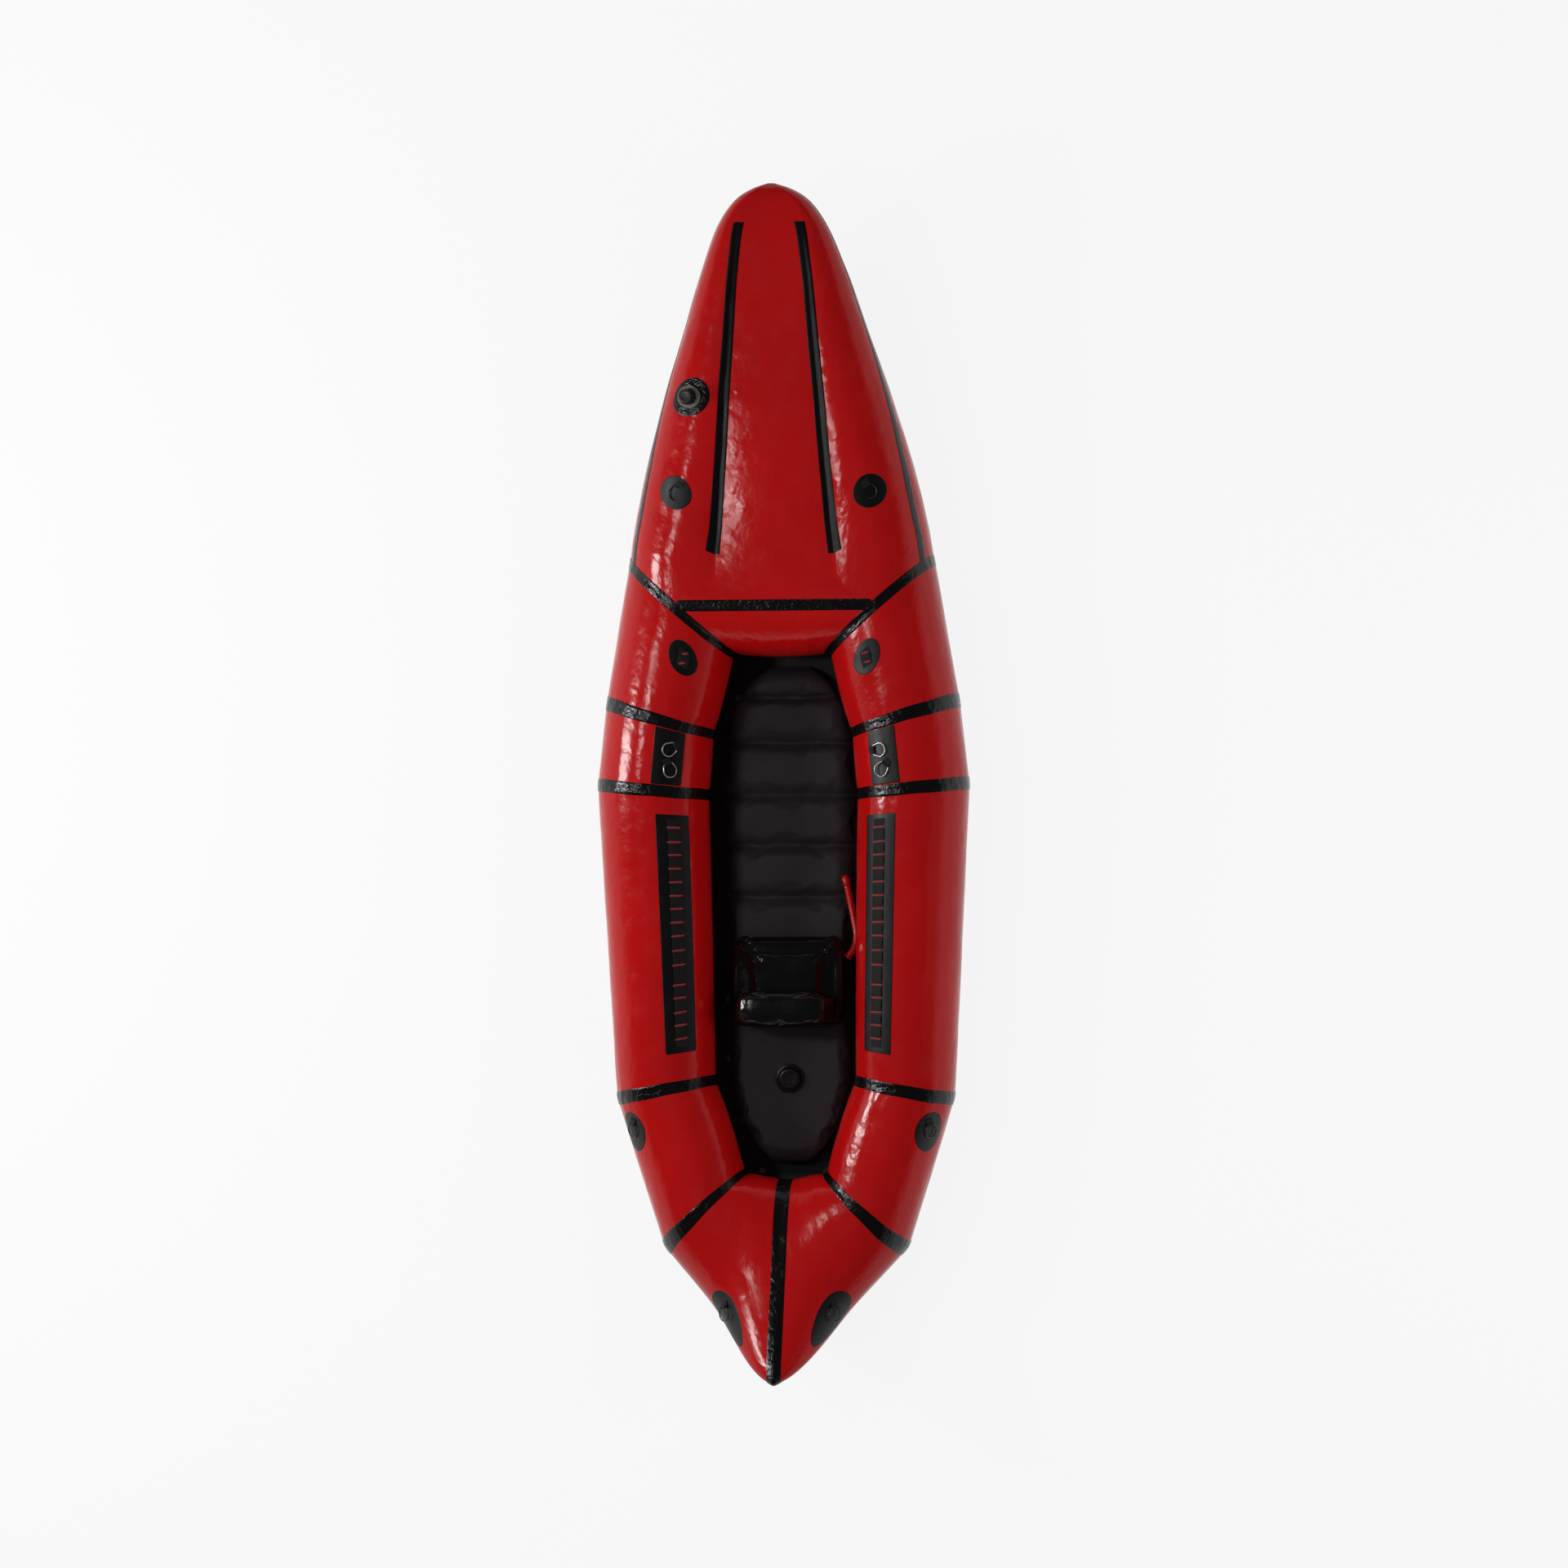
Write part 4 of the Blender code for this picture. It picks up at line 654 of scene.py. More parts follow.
def deck(run, share, grow, side=1):
    """A point on the deck between its centre line, share 0, and the strip's valley, share 1."""
    run, share, grow = alike(run, share, grow)
    values = ring_values(run)
    corner = skin(run, values[..., 9], grow)
    crown = (ellipse(values, np.full(run.shape, 90.0), 0.0)[..., 2]
             - ellipse(values, values[..., 9], 0.0)[..., 2])
    z = corner[..., 2] + crown * (1 - share ** 2) + 0.0005 * np.sin(run * 31 + share * 3) * (1 - share)
    return np.stack([side * corner[..., 0] * share, corner[..., 1], z], axis=-1)


def wall(degrees, share, grow):
    """A point on the rounded cockpit wall under the deck's rear edge, share -1 to 1 across it."""
    degrees, share, grow = alike(degrees, share, grow)
    start = ring_values(np.full(degrees.shape, run_of["bow"]))
    p = ellipse(start, degrees, 0.0)
    centre_y = (start[..., 1] + start[..., 3]) / 2
    out = np.stack([p[..., 1] - centre_y, p[..., 2] - start[..., 4]], axis=-1)
    bulge = wall_bulge * np.maximum(0.0, -out[..., 0]) / tube_radius * (1 - share ** 2)
    out = out / np.linalg.norm(out, axis=-1, keepdims=True)
    off = (grow - skin_sink + bulge)[..., None] * out
    return np.stack([share * p[..., 0], p[..., 1] + off[..., 0], p[..., 2] + off[..., 1]], axis=-1)


# Red skins

def stations(start, end):
    return np.linspace(start, end, max(3, int(round((end - start) / row_step)) + 1))


def metres(run, degrees):
    return paired(run, np.radians(degrees) * tube_radius)


def tubes():
    parts = (("front_tube", "bow", "shoulder"), ("side_tube", "shoulder", "quarter"),
             ("quarter_tube", "quarter", "stern"), ("stern_tube", "stern", "stern_2"))
    for name, first, last in parts:
        end = run_of[last] - (stern_tip_gap if last == "stern_2" else clearance)
        runs = stations(run_of[first] + clearance, end)[:, None]
        count = int(2 * math.pi * tube_radius / column_step)
        angles = np.arange(count)[None, :] * 360.0 / count
        for side, word in sides:
            outer = skin(runs, angles, 0.0, side)
            inner = skin(runs, angles, -fabric_wall, side)
            mesh = sheet_mesh(name, outer, inner, True, metres(runs, angles))
            piece(f"{name}_skin_{word}", mesh, red_fabric, "hull", "red_fabric", f"{name}_{word}")


def bow_half(runs, grow, upper, side):
    """Rows of half the deck or half the lower bow, from the centre line outward."""
    values = ring_values(runs)
    seam = values[:, 10]
    halves = np.degrees(clearance / values[:, 5])
    if upper:
        shares = np.linspace(0.0, 1.0, 26)[None, :]
        flat = deck(runs[:, None], shares, grow, side)
        steps = np.linspace(0.0, 1.0, 40)[None, 1:]
        top, low = values[:, 9][:, None], (seam + halves)[:, None]
        lobe = skin(runs[:, None], top + (low - top) * steps, grow, side)
        return np.concatenate([flat, lobe], axis=1)
    steps = np.linspace(0.0, 1.0, 40)[None, :]
    top = (seam - halves)[:, None]
    lobe = skin(runs[:, None], top + (-90.0 - top) * steps, grow, side)
    shares = np.linspace(1.0, 0.0, 14)[1:]
    flat = np.repeat(lobe[:, -1:, :], len(shares), axis=1)
    flat[..., 0] *= shares[None, :]
    return np.concatenate([lobe, flat], axis=1)


def bow_runs():
    tip_end = 0.16
    tip = tip_end * np.linspace(0.0, 1.0, 34) ** 1.6
    return np.concatenate([tip, stations(tip_end, run_of["bow"] - clearance)[1:]])


def bow_panels():
    runs = bow_runs()
    for name, upper in (("bow_deck_panel", True), ("bow_hull_panel", False)):
        layers = []
        for grow in (0.0, -fabric_wall):
            right, left = bow_half(runs, grow, upper, 1), bow_half(runs, grow, upper, -1)
            if upper:
                layers.append(np.concatenate([left[:, :0:-1], right], axis=1))
            else:
                layers.append(np.concatenate([right, left[:, -2::-1]], axis=1))
        steps = np.linalg.norm(np.diff(layers[0], axis=1), axis=2)
        across = np.concatenate([np.zeros((len(runs), 1)), np.cumsum(steps, axis=1)], axis=1)
        uvs = paired(runs[:, None], across - across[:, -1:] / 2)
        mesh = sheet_mesh(name, *layers, False, uvs)
        piece(f"{name}_skin", mesh, red_fabric, "hull", "red_fabric", name)


def cockpit_wall():
    angles = np.linspace(90.0, 270.0, 58)[:, None]
    shares = np.linspace(-1.0, 1.0, 40)[None, :]
    outer, inner = wall(angles, shares, 0.0), wall(angles, shares, -fabric_wall)
    for layer in (outer, inner):
        layer[:, 0, 0] += clearance * 2
        layer[:, -1, 0] -= clearance * 2
    uvs = paired(np.radians(angles) * tube_radius, shares * 0.25)
    piece("bow_cockpit_wall_skin", sheet_mesh("wall", outer, inner, False, uvs), red_fabric, "hull",
          "red_fabric", "bow_cockpit_wall")


# Black tapes over the seams

def edge_profile(count, thickness):
    """Offsets across a tape from -1 to 1, and its height there, thin at its edges."""
    across = np.linspace(-1.0, 1.0, count)
    return across, clearance + thickness * (1 - np.abs(across) ** 10 * 0.85)


def tape_piece(name, mesh, *nodes):
    piece(name, mesh, tape_fabric, "hull", "black_fabric", *nodes)


def faces(row, across, height, *more):
    """Both faces of a tape, from a function that gives its row of points at a share across and a level."""
    return [np.array([row(share, level, *more) for share, level in zip(across, levels)])
            for levels in (height, np.full(len(across), tape_foot))]


def seam_tapes():
    angles = np.arange(150)[None, :] * 360.0 / 150
    across, height = edge_profile(11, tape_thickness)
    for name in list(seam_shares)[1:]:
        for side, word in sides:
            wobble = 0.0006 * np.sin(np.radians(angles) * 7 + side)
            runs = run_of[name] + across[:, None] * tape_half + wobble
            ripple = 0.00022 * np.sin(np.radians(angles) * 47 + across[:, None] * 2 + side)
            outer = skin(runs, angles, height[:, None] + ripple, side)
            inner = skin(runs, angles, tape_foot, side)
            tape_piece(f"{name}_tape_{word}", sheet_mesh(name, outer, inner, True, metres(runs, angles)),
                       f"{name}_seam_tape_{word}")


def stern_tape():
    """The tape down the stern's centre line, over the ends of both stern tubes, as wide all the way."""
    angles = np.arange(180)[None, :] * 2.0
    end = knots[-1] - clearance
    back = np.linspace(0.0, 0.20, 240)
    reach = np.maximum.accumulate(skin(end - back[:, None], angles, 0.0)[..., 0], axis=0)
    _, height = edge_profile(13, tape_thickness)

    def row(step, level):
        at = np.array([np.interp((1 - step) * stern_tape_half, column, back) for column in reach.T])[None, :]
        return skin(end - at, angles, level)[0]

    layers = []
    for right in faces(row, np.linspace(0.0, 1.0, 7), height[:7]):
        right[-1, :, 0] = 0.0
        layers.append(np.concatenate([right[:-1] * (-1.0, 1.0, 1.0), right[::-1]]))
    uvs = metres(np.linspace(-stern_tape_half, stern_tape_half, 13)[:, None], angles)
    tape_piece("stern_centre_tape_skin", sheet_mesh("stern", *layers, True, uvs), "stern_centre_tape")


def bow_seam_tapes():
    """Tape round each bow seam, half on the bow and the wall, and the tape across the deck's rear edge."""
    start = run_of["bow"]
    across, height = edge_profile(11, tape_thickness)
    outer_angles = np.linspace(90.0, -90.0, 80)
    inner_angles = np.linspace(-90.0, -270.0, 82)[1:-1]
    edge = ellipse(ring_values(np.full(80, start)), inner_angles, 0.0)[:, 0]
    shares = np.linspace(-1.0, 1.0, 70)

    def ring_row(share, level):
        offset = share * tape_half
        front = skin(start + offset, outer_angles, level)
        if offset < 0:
            return np.concatenate([front, wall(inner_angles, 1 + offset / edge, level)])
        return np.concatenate([front, skin(start + offset, inner_angles, level)])

    def cross_row(share, level):
        if share > 0:
            return wall(90.0 + share * tape_angle, shares, level)
        run = start + share * cross_tape_half
        return np.concatenate([deck(run, -shares[:35], level, -1), deck(run, shares[35:], level, 1)])

    layers = faces(ring_row, across, height)
    uvs = paired(across[:, None] * tape_half, np.linspace(0, 0.86, layers[0].shape[1])[None, :])
    meshes = [sheet_mesh(word, *(layer * (side, 1.0, 1.0) for layer in layers), True, uvs)
              for side, word in sides]
    uvs = paired(across[:, None] * tape_half, shares[None, :] * 0.25)
    meshes.append(sheet_mesh("cross", *faces(cross_row, across, height + cross_tape_lift), False, uvs))
    tape_piece("bow_seam_tape_skin", join_meshes("bow_seam", meshes), "bow_seam_tape")


def bow_side_tapes():
    """Tape along each side seam of the bow, from the bow seam to just short of the tip."""
    across, height = edge_profile(9, tape_thickness * 0.8)
    runs = bow_runs()[8:-1]
    values = ring_values(runs)
    width = np.degrees(np.minimum(tape_half * 0.8 / values[:, 5], 0.5))
    angles = values[:, 10][None, :] + across[:, None] * width[None, :]
    uvs = paired(across[:, None] * tape_half, runs[None, :])
    for side, word in sides:
        outer = skin(runs[None, :], angles, height[:, None], side)
        inner = skin(runs[None, :], angles, tape_foot, side)
        tape_piece(f"bow_side_tape_{word}", sheet_mesh("side", outer, inner, False, uvs))


def deck_strips():
    """Strips laid in the two valleys of the deck, over the web inside."""
    runs = stations(run_of["bow_6"], run_of["bow_1"])
    values = ring_values(runs)
    across, height = edge_profile(12, tape_thickness)
    corner = skin(runs, values[:, 9], 0.0)[:, 0]
    uvs = paired(across[:, None] * strip_half, runs[None, :])

    def row(share, level, side):
        if share < 0:
            return deck(runs, 1 + share * strip_half / corner, level, side)
        return skin(runs, values[:, 9] - share * np.degrees(strip_half / values[:, 5]), level, side)

    for side, word in sides:
        mesh = sheet_mesh("strip", *faces(row, across, height, side), False, uvs)
        piece(f"deck_strip_{word}", mesh, strip_fabric, "hull", "black_fabric", f"bow_deck_strip_{word}")


# Places on the tubes

def chain_place(place):
    """Run and angle of a place given as a share of the way from its ring to the next, forward in the bow."""
    name, share, angle = place
    index = ring_names.index(name)
    ahead = -1 if name.startswith("bow_") else 1
    return mix(knots[index], knots[index + ahead], share), angle


def local_radius(run, angle):
    near = ellipse(ring_values(np.full(2, run)), np.array([angle - 1.0, angle + 1.0]), 0.0)
    return float(np.linalg.norm(near[1] - near[0])) / math.radians(2.0)


def on_skin(place, side, ahead, outward, grow):
    """Points this far ahead of a place and this far outward of it."""
    run, angle = chain_place(place)
    degrees = np.degrees(np.asarray(outward) / local_radius(run, angle))
    return skin(run - np.asarray(ahead), angle - degrees, grow, side)


def outline_patch(name, place, side, outline, thickness=patch_thickness):
    """A closed patch whose outline is given as (outward, ahead) points round its centre."""
    inward = np.linspace(0.06, 0.965, 14)
    rims = [(scale, thickness) for scale in inward]
    rims += [(0.99, thickness * 0.92), (1.0, thickness * 0.55), (1.0, 0.0)]
    rims += [(scale, 0.0) for scale in inward[::-3]]
    rings, uvs = [], []
    for scale, level in rims:
        spots = outline * scale
        rings.append(on_skin(place, side, spots[:, 1], spots[:, 0], clearance + level))
        uvs.append(spots)
    first = on_skin(place, side, 0.0, 0.0, clearance + thickness)
    last = on_skin(place, side, 0.0, 0.0, clearance)
    return loft_mesh(name, rings, first, last, np.array(uvs))


def circle(radius, count=72):
    turn = full_turn(count)
    return np.column_stack([np.cos(turn), np.sin(turn)]) * radius


def rectangle(width, length, corner=0.004, step=0.008):
    """Points round a rectangle with rounded corners, centred on zero."""
    corners = []
    for across, along, start in ((1, 1, 0), (-1, 1, 90), (-1, -1, 180), (1, -1, 270)):
        centre = np.array([across * (width / 2 - corner), along * (length / 2 - corner)])
        turn = np.radians(start + np.linspace(0, 90, 5))
        corners.append(centre + corner * np.column_stack([np.cos(turn), np.sin(turn)]))
    points = []
    for here, ahead in zip(corners, corners[1:] + corners[:1]):
        points.extend(here)
        gap = ahead[0] - here[-1]
        count = max(1, int(np.linalg.norm(gap) / step))
        points.extend(here[-1] + gap * k / count for k in range(1, count))
    return np.array(points)


def webbing_mesh(place, side, length, bars, end):
    """Webbing sewn down at its bars, standing a little proud between them."""
    spots, rises = [(bars[0] - end) * length], [0.0]
    for a, b in zip(bars, bars[1:]):
        for share in np.linspace(0, 1, 9):
            spots.append(mix(a * length + bar_height / 2, b * length - bar_height / 2, share))
            rises.append(webbing_slack * (math.sin(math.pi * share) ** 0.7 if 0 < share < 1 else 0.0))
    spots = np.array(spots + [(bars[-1] + end) * length])[None, :]
    low = clearance + patch_thickness + np.array(rises + [0.0])[None, :]
    across = np.linspace(-1.0, 1.0, 13)[:, None]
    top = low + webbing_thickness * (1 - np.abs(across) ** 8 * 0.5)
    columns = across * webbing_width / 2
    outer = on_skin(place, side, -spots, columns, top)
    inner = on_skin(place, side, -spots, columns, low)
    return sheet_mesh("webbing", outer, inner, False, paired(columns, spots))


def bar_mesh(place, side, ahead, lean, outward, width=bar_width):
    """A bar of stitches: a low cushion of thread with ridges from stitch to stitch."""
    level, crown, ridge_height, stitch = clearance + patch_thickness + bar_foot, 0.00085, 0.00012, 0.0016
    turn = full_turn(40)
    shape = np.column_stack([swell(np.cos(turn), 0.5) * width / 2, swell(np.sin(turn), 0.7) * bar_height / 2])
    c, s = math.cos(lean), math.sin(lean)
    rings, uvs = [], []
    for scale, rise in ((0.3, crown), (0.7, 0.0008), (0.93, 0.00055), (1.0, 0.0)):
        spots = shape * scale
        ridge = ridge_height * np.sin(spots[:, 0] * 2 * np.pi / stitch)
        x = spots[:, 0] * c - spots[:, 1] * s
        y = spots[:, 0] * s + spots[:, 1] * c
        rings.append(on_skin(place, side, ahead + y, outward + x, level + rise + ridge * (rise > 0)))
        uvs.append(spots)
    first = on_skin(place, side, ahead, outward, level + crown)
    last = on_skin(place, side, ahead, outward, level)
    return loft_mesh("bar", rings, first, last, np.array(uvs), 60.0)


def sewn_patch(name, cloth, node, place, side, word, outline, length, shares, end, bars):
    """A patch with webbing sewn on it by bars of stitches, each given as (lean, outward) or with a width."""
    patch = outline_patch(name, place, side, outline)
    piece(f"{name}_{cloth}_{word}", patch, patch_fabric, "hull", "webbing", f"{node}_{word}")
    strap = webbing_mesh(place, side, length, shares, end)
    piece(f"{name}_webbing_{word}", strap, webbing, "hull", "webbing")
    stitches = [bar_mesh(place, side, -share * length, *bar) for share, bar in zip(shares, bars)]
    piece(f"{name}_stitches_{word}", join_meshes("bars", stitches), thread, "hull", "red_fabric")


def lashings():
    rng = np.random.default_rng(7)
    for side, word in sides:
        bars = [(rng.normal(0.0, 0.02) + 0.03 * side, rng.normal(0, 0.0005)) for _ in lash_bar_shares]
        sewn_patch("lash", "patch", "lash_strip", lash_place, side, word, rectangle(lash_width, lash_length),
                   lash_length, lash_bar_shares, 0.035, bars)
        bars = [(loop_bar_leans[side], 0.0, loop_bar_width)] * len(loop_bar_shares)
        sewn_patch("loop", "round", "loop_patch", loop_place, side, word, circle(round_patch_radius),
                   loop_length, loop_bar_shares, 0.12, bars)


# Rings in their tabs, on the part's own axes

joint_of = {joint["child"]: joint for joint in frame["joints"]}


def ring_frame(node):
    """Where a ring lies: x along its bar, y back over its tab, z up off the patch, from its own mesh."""
    joint = joint_of[f"{node}_body"]
    origin = Vector(joint["pos_m"])
    bar = Vector(joint["axis"]).normalized()
    away = Vector(points_of(frame["nodes"][node].data).mean(axis=0)) - origin
    back = -(away - bar * away.dot(bar)).normalized()
    up = bar.cross(back)
    if up.z < 0:
        bar = -bar
        up = -up
    turn = Matrix((bar, back, up)).transposed().to_4x4()
    return Matrix.Translation(origin) @ turn


def tube_along(name, points, radius, closed, count=14):
    """A round wire through points."""
    points = [Vector(p) for p in points]
    total = len(points)
    rings, normal = [], None
    for i, p in enumerate(points):
        if closed:
            ahead, behind = points[(i + 1) % total], points[i - 1]
        else:
            ahead, behind = points[min(i + 1, total - 1)], points[max(i - 1, 0)]
        along = (ahead - behind).normalized()
        if normal is None:
            normal = along.orthogonal().normalized()
        normal = (normal - along * normal.dot(along)).normalized()
        other = along.cross(normal)
        rings.append([tuple(p + (normal * math.cos(a) + other * math.sin(a)) * radius)
                      for a in full_turn(count)])
    if not closed:
        return loft_mesh(name, rings, sharp=0.0)
    return mesh_of(name, rings, grid_quads(total + 1, count, True) % (total * count), [], sharp=0.0)


def d_ring_points():
    """Points round a D-ring in its own frame: a straight bar through zero and a round side."""
    reach = ring_outer - ring_wire
    rim, half, bend = reach / 2, ring_bar / 2, 0.004
    points = [(half - bend, 0.0), (half - 0.0012, -0.0003)]
    for step in range(37):
        turn = math.pi * step / 36
        points.append((rim * math.cos(turn), -(reach - rim) - rim * math.sin(turn)))
    points += [(-half + 0.0012, -0.0003), (-half + bend, 0.0)]
    points += [(-half + bend + (ring_bar - 2 * bend) * k / 6, 0.0) for k in range(1, 6)]
    return [Vector((x, y, 0.0)) for x, y in points]


def tab_mesh(name, matrix, level):
    """A folded tab of webbing round the ring's bar, sewn flat behind it; level is the patch's top."""
    eye = ring_wire / 2 + 0.0005
    foot = matrix.inverted()
    columns = np.linspace(-tab_width / 2, tab_width / 2, 9)
    straight = (1.0, 0.85, 0.7, 0.55, 0.4)
    turns = np.radians((-90.0, -108.0, -126.0, -144.0, -162.0, -180.0, 162.0, 144.0, 126.0, 108.0, 90.0, 70.0,
                        50.0))

    def flat_row(share, lift):
        y = share * tab_length
        return [(x, y, (foot @ level(matrix @ Vector((x, y, 0.0)))).z + lift) for x in columns]

    layers = []
    for radius, under, over in ((eye + tab_thickness, 0.0, tab_thickness * 2 + clearance),
                                (eye, tab_thickness, tab_thickness + clearance)):
        rows = [flat_row(share, under) for share in straight]
        rows += [[(x, radius * math.cos(turn), radius * math.sin(turn)) for x in columns] for turn in turns]
        rows += [flat_row(share, over) for share in straight[::-1]]
        layers.append(np.array([[tuple(matrix @ Vector(p)) for p in row] for row in rows]))
    uvs = paired(columns[None, :], np.linspace(0, 0.04, len(rows))[:, None])
    return sheet_mesh(name, *layers, False, uvs, 50.0)


def skin_level(place, side, grow):
    """A function that finds the skin's point nearest below a spot near a place."""
    run, angle = chain_place(place)
    reach, spread = 0.085, 42.0
    runs = run + np.linspace(-reach, reach, 69)[:, None]
    angles = angle + np.linspace(-spread, spread, 85)[None, :]
    points = skin(runs, angles, grow, side).reshape(-1, 3)

    def level(spot):
        away = np.linalg.norm(points - np.array(spot), axis=1)
        near = np.argsort(away)[:3]
        weight = 1 / (away[near] + 1e-6)
        return Vector((points[near] * weight[:, None]).sum(axis=0) / weight.sum())

    return level


def ring_patch(name, cloth, node, place, side, outline, rings, material, slot):
    """A patch with its rings, each given as its node and the name of its tab."""
    piece(cloth, outline_patch(name, place, side, outline), patch_fabric, "hull", "webbing", node)
    level = skin_level(place, side, clearance + patch_thickness)
    for ring, tab in rings:
        matrix = ring_frame(ring)
        wire = tube_along(ring, [matrix @ p for p in d_ring_points()], ring_wire / 2, True)
        piece(f"{ring}_wire", wire, material, f"{ring}_body", slot, ring)
        piece(tab, tab_mesh(tab, matrix, level), webbing, "hull", "webbing")


def ring_fittings():
    for side, word in sides:
        rings = [(f"steel_ring_{end}_{word}", f"tab_{end}_{word}") for end in ("front", "rear")]
        ring_patch("ring", f"ring_patch_cloth_{word}", f"ring_patch_{word}", ring_patch_place, side,
                   rectangle(ring_patch_width, ring_patch_length), rings, steel, "steel")
        for name, place in tie_places.items():
            rings = [(f"tie_ring_{name}_{word}", f"tie_tab_{name}_{word}")]
            ring_patch("tie", f"tie_round_{name}_{word}", f"tie_patch_{name}_{word}", place, side,
                       circle(round_patch_radius), rings, ring_plastic, "black_plastic")


# Turned pieces

def turned(name, profile, matrix, count=64, ribs=None):
    """A body of revolution from a profile of (radius, height) that starts and ends on the axis."""
    turn = full_turn(count)
    rings = []
    for radius, height in profile[1:-1]:
        r = radius if ribs is None else ribs(turn, radius, height)
        rings.append(np.column_stack([r * np.cos(turn), r * np.sin(turn), np.full(count, height)]))
    ends = [moved(matrix, (0.0, 0.0, profile[end][1])) for end in (0, -1)]
    return loft_mesh(name, moved(matrix, rings), *ends, sharp=35.0)


def facing(direction):
    return direction.to_track_quat("Z", "Y").to_matrix().to_4x4()


def axis_frame(child, height_node, upward=True):
    """A frame on a joint's axis, its origin at the lowest point of a node along the axis."""
    joint = joint_of[child]
    axis = Vector(joint["axis"]).normalized()
    if (axis.z < 0) == upward:
        axis = -axis
    origin = Vector(joint["pos_m"])
    low = min((v.co - origin).dot(axis) for v in frame["nodes"][height_node].data.vertices)
    return Matrix.Translation(origin + axis * low) @ facing(axis)


# Valves

def main_valve():
    flange_radius, flange_thickness = 0.049, 0.0020
    flange = outline_patch("flange", main_valve_place, -1, circle(flange_radius, 96), flange_thickness)
    piece("main_valve_flange_cloth", flange, tape_fabric, "hull", "black_fabric", "main_valve_flange")
    matrix = axis_frame("main_valve_insert", "main_valve_body")
    wall_radius, bore, high = 0.0275, 0.0175, 0.017
    body = [(0.0, 0.003), (bore - 0.0008, 0.003), (bore, 0.0038), (bore, high - 0.0006),
            (bore + 0.0006, high), (0.0215, high), (0.0220, high - 0.0010), (0.0235, high - 0.0010),
            (0.0240, high), (0.0262, high), (0.0272, high - 0.0006), (wall_radius, high - 0.0016),
            (wall_radius, 0.0115), (0.0266, 0.0110), (0.0266, 0.0085), (wall_radius, 0.0080),
            (wall_radius, 0.0010), (0.0270, 0.0003), (0.0262, 0.0), (0.0, 0.0)]

    def notched(turn, radius, height):
        if radius < 0.0255 or not 0.0004 < height < 0.0165:
            return radius + 0 * turn
        return radius - 0.0006 * np.clip(np.sin(turn * 24) * 2, 0, 1)

    piece("main_valve_ring", turned("ring", body, matrix, 144, notched), grey_plastic, "main_valve_insert",
          "grey_plastic", "main_valve_body")
    cap_radius, start, cap_high = 0.020, high + clearance, 0.031
    top = start + cap_high
    neck = bore - clearance
    cap = [(0.0, high - 0.008), (neck - 0.001, high - 0.008), (neck, high - 0.007), (neck, start),
           (cap_radius - 0.0004, start), (cap_radius, start + 0.0006), (cap_radius, start + 0.0040),
           (cap_radius - 0.0010, start + 0.0046), (cap_radius - 0.0010, start + 0.0060),
           (cap_radius - 0.0002, start + 0.0066), (cap_radius * 0.985, start + cap_high * 0.45),
           (cap_radius * 0.955, start + cap_high * 0.80), (cap_radius * 0.92, top - 0.0034),
           (cap_radius * 0.87, top - 0.0014), (cap_radius * 0.80, top - 0.0004),
           (cap_radius * 0.70, top), (cap_radius * 0.62, top - 0.0001),
           (cap_radius * 0.58, top - 0.0010), (cap_radius * 0.30, top - 0.0013), (0.0, top - 0.0013)]

    def ribbed(turn, radius, height):
        if radius < cap_radius * 0.84 or height < start + 0.0064:
            return radius + 0 * turn
        depth = 0.0021 * min(1.0, (top - height) / 0.002 + 0.2)
        return radius - depth * (0.5 - 0.5 * np.tanh(4 * np.cos(turn * 12)))

    piece("main_valve_knob", turned("knob", cap, matrix, 192, ribbed), black_plastic, "main_valve_lid",
          "black_plastic", "main_valve_cap")


def mat_valve():
    matrix = axis_frame("mat_valve_lid", "mat_valve_body")
    disc = [(0.0, 0.0011), (0.0152, 0.0011), (0.016, 0.0019), (0.016, 0.0114), (0.0166, 0.012),
            (0.0204, 0.012), (0.021, 0.0114), (0.021, 0.0030), (0.0216, 0.0022), (0.0265, 0.0022),
            (0.0275, 0.0029), (0.0290, 0.0029), (0.0300, 0.0022), (0.0342, 0.0020), (0.0354, 0.0014),
            (0.036, 0.0006), (0.036, 0.0), (0.0, 0.0)]
    piece("mat_valve_disc", turned("disc", disc, matrix, 96), black_plastic, "hull", "black_plastic",
          "mat_valve_body")
    low, high, outer = 0.0022 + clearance, 0.0165, 0.027
    lid = [(0.0, high - 0.0020), (0.0215, high - 0.0020), (0.0242, high - 0.0036),
           (0.0250, high - 0.0056), (0.0250, low), (0.0262, low), (0.0268, low + 0.0006),
           (outer, low + 0.0012), (outer, high - 0.0052), (0.0266, high - 0.0036),
           (0.0256, high - 0.0020), (0.0238, high - 0.0008), (0.0215, high - 0.0001), (0.0200, high),
           (0.0150, high - 0.0002), (0.0142, high - 0.0010), (0.0080, high - 0.0012),
           (0.0, high - 0.0012)]

    def gripped(turn, radius, height):
        if radius < 0.0262 or height < low + 0.001:
            return radius + 0 * turn
        return radius - 0.0008 * np.clip(np.cos(turn * 18) * 3, 0, 1)

    piece("mat_valve_lid_cap", turned("lid", lid, matrix, 180, gripped), black_plastic, "mat_valve_lid",
          "black_plastic", "mat_valve_cap")
    radius, wire, turns, foot, top = 0.00825, 0.0006, 3.0, 0.0020, 0.0086
    coil = []
    for share in np.linspace(0, 1, 73):
        turn = share * turns * 2 * math.pi
        spot = Vector((radius * math.cos(turn), radius * math.sin(turn), mix(foot, top, share)))
        coil.append(matrix @ spot)
    spring = piece("mat_valve_coil", tube_along("coil", coil, wire, False, 10), steel, "hull", "steel",
                   "mat_valve_spring")
    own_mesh(spring)


# Floor sheet

